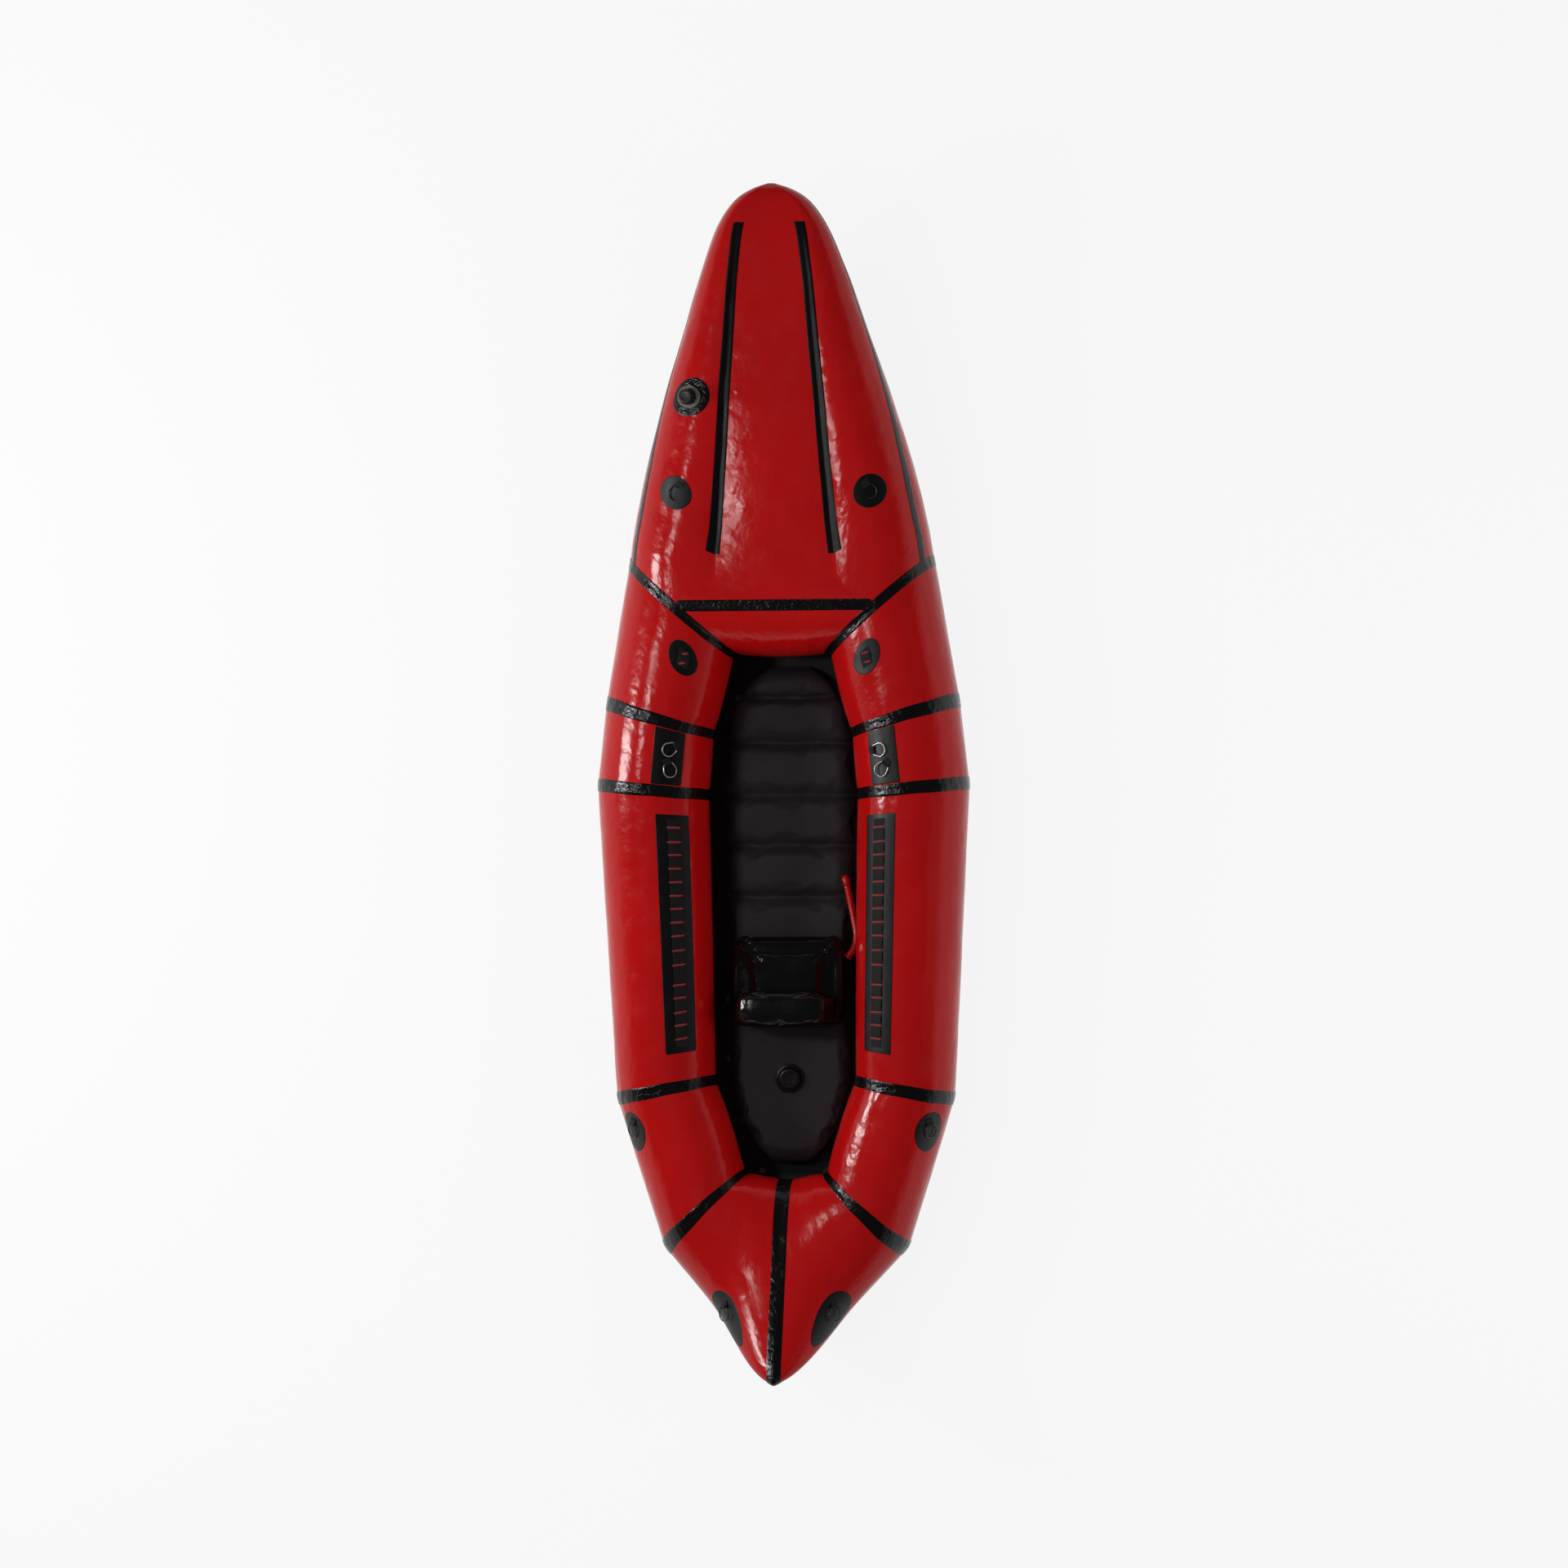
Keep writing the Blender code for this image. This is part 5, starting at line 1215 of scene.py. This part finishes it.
def floor_outline():
    """Points round the floor sheet, from its front's middle down the right side and up the left."""
    front = centres[ring_names.index("bow")]
    right = [(0.0, front[1] + sheet_front_reach), (front[0], front[1] + sheet_front_reach)]
    for name in list(seam_shares)[1:]:
        index = ring_names.index(name)
        reach = ring_rows[index, 0:2] - ring_rows[index, 2:4]
        right.append(tuple(centres[index][:2] + reach / np.linalg.norm(reach) * sheet_margin))
    right.append((0.0, centres[ring_names.index("stern")][1] - sheet_margin))
    return right + [(-x, y) for x, y in right[-2:0:-1]]


def floor_sheet():
    data = bpy.data.curves.new("floor_outline", "CURVE")
    data.dimensions = "2D"
    data.fill_mode = "BOTH"
    data.extrude = floor_thickness / 2
    outline = floor_outline()
    shapes = [outline]
    for side, _ in sides:
        for name, share in drain_shares:
            index = ring_names.index(name)
            inner = mix(ring_rows[index, 2:4], ring_rows[index + 1, 2:4], share)
            shapes.append([(side * (inner[0] - drain_inset + drain_radius * math.cos(a)),
                            inner[1] + drain_radius * math.sin(a)) for a in full_turn(40)])
    for shape in shapes:
        spline = data.splines.new("POLY")
        spline.points.add(len(shape) - 1)
        for spot, (x, y) in zip(spline.points, shape):
            spot.co = (x, y, 0.0, 1.0)
        spline.use_cyclic_u = True
    mesh = applied(placed("floor_outline", data))
    mesh.transform(Matrix.Translation((0.0, 0.0, floor_thickness / 2)))
    layer = mesh.uv_layers.new(name="UVMap") if not mesh.uv_layers else mesh.uv_layers[0]
    index = read(mesh.loops, "vertex_index", kind=int)
    layer.data.foreach_set("uv", points_of(mesh)[index, :2].ravel())
    mesh.materials.clear()
    made = piece("floor_sheet_cloth", mesh, floor_fabric, "hull", "black_fabric", "floor_sheet")
    xs, ys = [p[0] for p in outline], [p[1] for p in outline]
    area = abs(sum(a[0] * b[1] - b[0] * a[1] for a, b in zip(outline, outline[1:] + outline[:1]))) / 2
    area -= 2 * len(drain_shares) * math.pi * drain_radius ** 2
    max(xs) - min(xs)
    max(ys) - min(ys)


def stern_flap():
    """The floor sheet's aft end, which rises to the stern tubes' underside and closes the hull there."""
    half_width, start, end, thickness, gap = 0.170, -0.952, -1.058, 0.0008, 0.0004
    rows, columns = 13, 61
    base = floor_thickness + thickness + 0.0001
    points, polygons = [], []
    for made in bpy.data.objects:
        if made.name.startswith(("quarter_tube_skin", "stern_t", "stern_centre_tape")):
            polygons += [[i + len(points) for i in face.vertices] for face in made.data.polygons]
            points += [tuple(v.co) for v in made.data.vertices]
    hull = BVHTree.FromPolygons(points, polygons)

    def underside(x, y):
        spot = hull.ray_cast(Vector((x, y, 0.0005)), skyward)[0]
        return (1.0 if spot is None else spot.z) - gap

    top = np.zeros((rows, columns, 3))
    for column, x in enumerate(np.linspace(half_width, -half_width, columns)):
        rise = underside(x, end) - base
        for row, share in enumerate(np.linspace(0, 1, rows)):
            y = mix(start, end, share)
            level = base + rise * share * share * (3 - 2 * share)
            top[row, column] = x, y, min(level, underside(x, y))
    low = top - np.array([0.0, 0.0, thickness])
    piece("floor_sheet_flap", sheet_mesh("flap", top, low, False, top[..., :2]), floor_fabric, "hull",
          "black_fabric")


# Padded goods

def inner_half_width(y):
    rows = ring_rows[[ring_names.index(name) for name in seam_shares]]
    return float(np.interp(-y, -rows[:, 3], rows[:, 2]))


def seat_half():
    return inner_half_width(seat_front - seat_length / 2) - seat_side_gap


def inflate(mesh, pins, frames, pressure, most, bending, shrink):
    """Blows a closed mesh up as cloth, with its pinned points held, and keeps each point's move small."""
    made = placed("inflated", mesh)
    start = points_of(mesh)
    cloth = made.modifiers.new("cloth", "CLOTH")
    settings = cloth.settings
    settings.quality = 6
    settings.mass = 0.2
    settings.tension_stiffness = 30
    settings.compression_stiffness = 30
    settings.shear_stiffness = 10
    settings.bending_stiffness = bending
    settings.shrink_min = shrink
    settings.use_pressure = True
    settings.uniform_pressure_force = pressure
    settings.effector_weights.gravity = 0.0
    if pins:
        group = made.vertex_groups.new(name="pin")
        group.add([int(i) for i in pins], 1.0, "REPLACE")
        settings.vertex_group_mass = "pin"
        settings.pin_stiffness = 5.0
    cloth.point_cache.frame_start = 1
    cloth.point_cache.frame_end = frames
    scene = bpy.context.scene
    for number in range(1, frames + 1):
        scene.frame_set(number)
    found = applied(made)
    move = points_of(found) - start
    if not pins:
        move -= move.mean(axis=0)
    size = np.linalg.norm(move, axis=1, keepdims=True)
    move *= np.minimum(1.0, most / np.maximum(size, 1e-9))
    mesh.vertices.foreach_set("co", (start + move).ravel())
    mesh.update()
    bpy.data.meshes.remove(found)
    scene.frame_set(1)
    return mesh

def swell(value, power):
    return np.sign(value) * np.abs(value) ** power


def mat_profile(share):
    """Half width and thickness of the mat along it, as shares of the whole."""
    wide = np.interp(share, [0.0, 0.012, 0.030, 0.085, 0.915, 0.970, 0.988, 1.0],
                     [0.42, 0.62, 0.80, 1.0, 1.0, 0.80, 0.62, 0.42])
    rise = np.clip(np.minimum(share, 1 - share) / 0.045, 0, 1)
    return wide, 0.30 + 0.70 * np.sqrt(1 - (1 - rise) ** 2)


def mat():
    """The floor mat: air chambers across it between welded channels, and one smooth chamber aft."""
    front = ring_rows[ring_names.index("bow"), 3] - mat_front_gap
    rear = ring_rows[ring_names.index("stern"), 3] + mat_rear_gap
    length = front - rear
    base = floor_thickness + clearance
    rows, count, middle = int(length / 0.0062), 124, 0.45
    crease_start, crease_end, crease_depth = 0.68, 0.80, 0.013
    turn = full_turn(count, 0.5)
    up = np.sin(turn) > 0
    rings, pins = [], []
    for k in range(rows + 1):
        share = k / rows
        y = mix(front, rear, share)
        wide, thick = mat_profile(share)
        away = min(abs(share - s) for s in mat_channel_shares) * length
        depth = 0.36 * math.exp(-(away / 0.0095) ** 2)
        half = (inner_half_width(y) - 0.012) * wide - 0.003
        high = (mat_thickness - 0.003) * thick * (1 - depth)
        crease = 0.0
        if crease_start < share < crease_end:
            crease = crease_depth * math.sin(math.pi * (share - crease_start) / 0.12) ** 0.7
        x = half * swell(np.cos(turn), 0.60)
        z = np.where(up, high * mix(middle, 1.0, swell(np.abs(np.sin(turn)), 0.55)),
                     high * middle * (1 - swell(np.abs(np.sin(turn)), 0.40)))
        z = z - crease * np.exp(-(x / 0.010) ** 2) * up
        z = np.maximum(z, 0.0) + base + 0.0012
        rings.append(np.column_stack([x, np.full(count, y), z]))
        if away < 0.0035:
            pins.extend(k * count + i for i in range(count) if abs(x[i]) < half * 0.93)
    mesh = loft_mesh("mat", rings, sharp=0.0)
    mesh = inflate(mesh, pins, 16, 3.0, 0.007, 0.3, -0.02)
    points = points_of(mesh)
    points[:, 2] = np.clip(points[:, 2], base, base + mat_thickness)
    limit = np.array([inner_half_width(y) - 0.009 for y in points[:, 1]])
    points[:, 0] = np.clip(points[:, 0], -limit, limit)
    points[:, 1] = np.clip(points[:, 1], rear, front)
    set_points(mesh, points)
    made = piece("floor_mat_pad", mesh, mat_fabric, "hull", "mat_fabric", "floor_mat")


def pillow_mesh(name, matrix, half_width, half_length, thickness, narrowing=0.0, both=False):
    """A crowned cushion with sides drawn in, as in the part's source, remeshed for cloth."""
    shares = [(0.0, 0.86), (0.05, 0.92), (0.10, 0.955), (0.20, 0.985), (0.32, 1.0), (0.46, 0.996),
              (0.60, 0.985), (0.70, 0.963), (0.80, 0.93), (0.87, 0.88), (0.93, 0.80), (0.965, 0.68),
              (0.985, 0.52), (0.996, 0.28)]
    if both:
        upper = [(0.5 + share / 2, width) for share, width in shares[4:]]
        shares = [(1 - share, width) for share, width in upper[::-1]] + [(0.5, 1.008)] + upper
    count, drawn_in = 96, 0.045
    turn = full_turn(count, 0.5)
    u, v = swell(np.cos(turn), 0.38), swell(np.sin(turn), 0.38)
    x = u * (1 - drawn_in * (1 - v * v))
    y = v * (1 - drawn_in * (1 - u * u))
    x = x * (1 - narrowing * (v + 1) / 2)
    rings = [np.column_stack([x * half_width * size, y * half_length * size,
                              np.full(count, share * thickness)]) for share, size in shares]
    ends = [moved(matrix, (0.0, 0.0, height)) for height in (0.0, thickness)]
    drawn = placed(name, loft_mesh(name, moved(matrix, rings), *ends, sharp=0.0))
    remesh = drawn.modifiers.new("remesh", "REMESH")
    remesh.mode = "VOXEL"
    remesh.voxel_size = 0.0048
    return applied(drawn)


def subdivided(mesh):
    """The mesh with each face split in four and smoothed."""
    drawn = placed("fine", mesh)
    fine = drawn.modifiers.new("fine", "SUBSURF")
    fine.levels = 1
    fine.render_levels = 1
    return applied(drawn)


def backrest_matrix():
    foot = Vector((0, seat_front - seat_length * 0.785, seat_base + seat_height - clearance))
    turn = Matrix.Rotation(math.radians(180.0), 4, "Z") @ Matrix.Rotation(math.radians(96.0), 4, "X")
    return Matrix.Translation(foot) @ turn @ Matrix.Translation((0, backrest_height / 2, -backrest_depth / 2))


def creased(points, corner, reach, depth, count, phase):
    """Creases that fan out from a drawn-in corner of a cushion's top."""
    away = points[:, :2] - np.array(corner)
    r = np.linalg.norm(away, axis=1)
    fan = np.sin(count * np.arctan2(away[:, 1], away[:, 0]) + phase)
    above = points[:, 2] > seat_base + seat_height * 0.55
    points[:, 2] += depth * fan * np.exp(-(r / reach) ** 2) * np.minimum(1.0, r / 0.012) * above


def blown_points(mesh, box, less, more):
    """Points of a cushion after it is blown up, kept within these margins of its node's box."""
    low, high = box
    return np.clip(points_of(inflate(mesh, (), 18, 4.0, 0.006, 0.15, -0.06)), np.array(low) - less,
                   np.array(high) + more)


def cushion(word, body, mesh, points):
    """Puts a cushion of the seat in the scene with its points moved here, made finer."""
    set_points(mesh, points)
    mesh = subdivided(mesh)
    mesh.shade_smooth()
    made = piece(f"seat_{word}_pad", mesh, seat_fabric, body, "seat_fabric", f"seat_{word}")


def seat():
    half, front, rear = seat_half(), seat_front, seat_front - seat_length
    place = Matrix.Translation((0, seat_front - seat_length / 2, seat_base))
    mesh = pillow_mesh("cushion", place, half - 0.002, seat_length / 2 - 0.002, seat_height - 0.006)
    points = blown_points(mesh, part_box("seat_cushion"), [0.004, 0.002, 0.0], [0.010, 0.003, 0.009])
    points[:, 0] += 0.007 * np.clip(points[:, 0] / half, 0.0, 1.0)
    for corner, *sizes in (((-half, front), 0.075, 0.0022, 15, 0.4), ((half, front), 0.050, 0.0016, 13, 1.7),
                           ((-half, rear), 0.045, 0.0016, 13, 0.9), ((half, rear), 0.045, 0.0016, 13, 2.1)):
        creased(points, corner, *sizes)
    cushion("cushion", "hull", mesh, points)
    mesh = pillow_mesh("backrest", backrest_matrix(), half * 0.94 - 0.002, backrest_height / 2 - 0.002,
                       backrest_depth - 0.003, 0.26, True)
    points = blown_points(mesh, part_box("seat_backrest"), [0.006, 0.004, 0.0], [0.010, 0.002, 0.009])
    cushion("backrest", "backrest", mesh, points)


# Hose

def smooth_route(points, per):
    """A smooth curve through the route's points."""
    slope = np.gradient(points, axis=0)
    found = [hermite(j / per, points[k], points[k + 1], slope[k], slope[k + 1])
             for k in range(len(points) - 1) for j in range(per)]
    return np.array(found + [points[-1]])

def hose():
    corner = np.array([seat_half(), seat_front, seat_base])
    route = smooth_route(corner + np.array(hose_route), 6)
    mesh = tube_along("hose", route, hose_diameter / 2, False, 28)
    made = piece("seat_hose_tube", mesh, red_hose, "hull", "red_hose", "seat_hose")
    start = Vector(route[0])
    ahead = (Vector(route[1]) - start).normalized()
    collar = [(0.0, 0.0), (0.0115, 0.0), (0.0120, 0.0008), (0.0120, 0.0028), (0.0112, 0.0040),
              (0.0096, 0.0048), (0.0090, 0.0062), (0.0, 0.0062)]
    spot = Matrix.Translation(start) @ facing(ahead)
    collar_piece = piece("seat_hose_collar", turned("collar", collar, spot), red_hose, "hull", "red_hose")
    matrix = axis_frame("mouth_valve", "seat_hose_mouth_valve")
    tip = Vector(route[-1])
    if (matrix.to_translation() - tip).length > 0.01:
        matrix = axis_frame("mouth_valve", "seat_hose_mouth_valve", False)
    end = [(0.0, 0.0), (0.0094, 0.0), (0.0100, 0.0006), (0.0100, 0.0030), (0.0093, 0.0036),
           (0.0093, 0.0046), (0.0100, 0.0052), (0.0100, 0.0140), (0.0097, 0.0160), (0.0087, 0.0190),
           (0.0068, 0.0214), (0.0045, 0.0231), (0.0022, 0.0238), (0.0, 0.0240)]
    valve = piece("mouth_valve_tip", turned("mouth", end, matrix, 48), red_hose, "mouth_valve", "red_hose",
                  "seat_hose_mouth_valve")


# Everything, cords first

hose()
tubes()
bow_panels()
cockpit_wall()
seam_tapes()
stern_tape()
bow_seam_tapes()
bow_side_tapes()
deck_strips()
lashings()
ring_fittings()
main_valve()
mat_valve()
floor_sheet()
stern_flap()
mat()
seat()

# CAD nodes that stay: the web inside the bow and the valves' inner parts
kept = {"bow_baffle": floor_fabric, "main_valve_diaphragm": black_plastic, "mat_valve_plunger": black_plastic}
for name, material in kept.items():
    data = frame["nodes"][name].data
    data.materials.clear()
    data.materials.append(material)


# Light, floor and background

def area_light(name, spot, aim, size, power, colour=(1, 1, 1)):
    data = bpy.data.lights.new(name, "AREA")
    data.shape = "RECTANGLE"
    data.size, data.size_y = size
    data.energy = power
    data.color = colour
    made = placed(name, data)
    made.location = spot
    made.rotation_euler = (Vector(aim) - Vector(spot)).to_track_quat("-Z", "Y").to_euler()
    made.visible_camera = False
    return made


daylight = (1.0, 0.98, 0.98)
area_light("window", (-4.0, 0.30, 2.4), (0.0, -0.1, 0.1), (0.50, 1.30), 84.0, daylight)
area_light("skylight", (-2.1, 0.38, 3.9), (0.0, 0.0, 0.1), (0.40, 0.60), 18.0, daylight)
area_light("room", (-0.8, 0.2, 5.0), (0.0, 0.0, 0.1), (3.0, 3.0), 9.0).visible_glossy = False
area_light("right_fill", (3.8, -0.6, 1.9), (0.0, 0.0, 0.1), (1.2, 2.6), 30.0).visible_glossy = False


def seen_rays(tree):
    """One for rays from the camera and for mirror and clear rays, zero for the rest."""
    path = new_node(tree, "ShaderNodeLightPath", {})
    found = path.outputs["Is Camera Ray"]
    for name in ("Is Glossy Ray", "Is Transmission Ray"):
        inputs = {0: found, 1: path.outputs[name]}
        found = new_node(tree, "ShaderNodeMath", inputs, operation="MAXIMUM").outputs["Value"]
    return found


def make_world():
    """A soft sky for light; what the camera and mirrors see is white that fades with height."""
    world = bpy.data.worlds.new("world")
    bpy.context.scene.world = world
    world.use_nodes = True
    tree = world.node_tree
    sky = tree.nodes["Background"]
    set_inputs(tree, sky, {"Color": (0.94, 0.95, 1.0, 1.0), "Strength": 0.27})
    way = new_node(tree, "ShaderNodeTexCoord", {}).outputs["Generated"]
    height = new_node(tree, "ShaderNodeSeparateXYZ", {"Vector": way}).outputs["Z"]
    fade = new_node(tree, "ShaderNodeMapRange", {"Value": height, "From Min": 0.10, "From Max": 0.42,
                                                 "To Min": 1.0, "To Max": 0.055}).outputs["Result"]
    seen = new_node(tree, "ShaderNodeBackground", {"Color": white, "Strength": fade})
    blend = new_node(tree, "ShaderNodeMixShader", {"Fac": seen_rays(tree), 1: sky.outputs["Background"],
                                                   2: seen.outputs["Background"]})
    set_inputs(tree, tree.nodes["World Output"], {"Surface": blend.outputs["Shader"]})


make_world()


def ground_material():
    """A matt white floor that looks evenly bright to the camera and to mirrors."""
    found = bpy.data.materials.new("ground")
    found.use_nodes = True
    tree = found.node_tree
    main = tree.nodes["Principled BSDF"]
    set_inputs(tree, main, {"Base Color": (0.86, 0.86, 0.86, 1.0), "Roughness": 0.9,
                            "Specular IOR Level": 0.1})
    glow = new_node(tree, "ShaderNodeEmission", {"Color": white, "Strength": 1.0})
    share = new_node(tree, "ShaderNodeMath", {0: seen_rays(tree), 1: 0.87}, operation="MULTIPLY")
    blend = new_node(tree, "ShaderNodeMixShader", {"Fac": share.outputs["Value"], 1: main.outputs["BSDF"],
                                                   2: glow.outputs["Emission"]})
    set_inputs(tree, tree.nodes["Material Output"], {"Surface": blend.outputs["Shader"]})
    return found


def flat_face(name, corners, material):
    """One flat face as an object of its own."""
    mesh = bpy.data.meshes.new(name)
    mesh.from_pydata(corners, [], [tuple(range(len(corners)))])
    mesh.materials.append(material)
    return placed(name, mesh)


def stage_floor():
    reach, level, shaded_level = 12, -0.0006, -0.0003
    corners = [(x * reach, y * reach, level) for x, y in ((-1, -1), (1, -1), (1, 1), (-1, 1))]
    ground = flat_face("ground", corners, ground_material())
    outline = floor_outline()
    ends = [y for _, y in outline]
    middle = (max(ends) + min(ends)) / 2
    spots = [(x * 0.94, middle + (y - middle) * 0.97, shaded_level) for x, y in outline[::-1]]
    shadow = coated("shaded_ground", (0.060, 0.062, 0.040), 0.8, 0.1, coords="Object")
    shaded = flat_face("shaded_ground", spots, shadow)


stage_floor()
bpy.context.scene.view_settings.view_transform = "Standard"
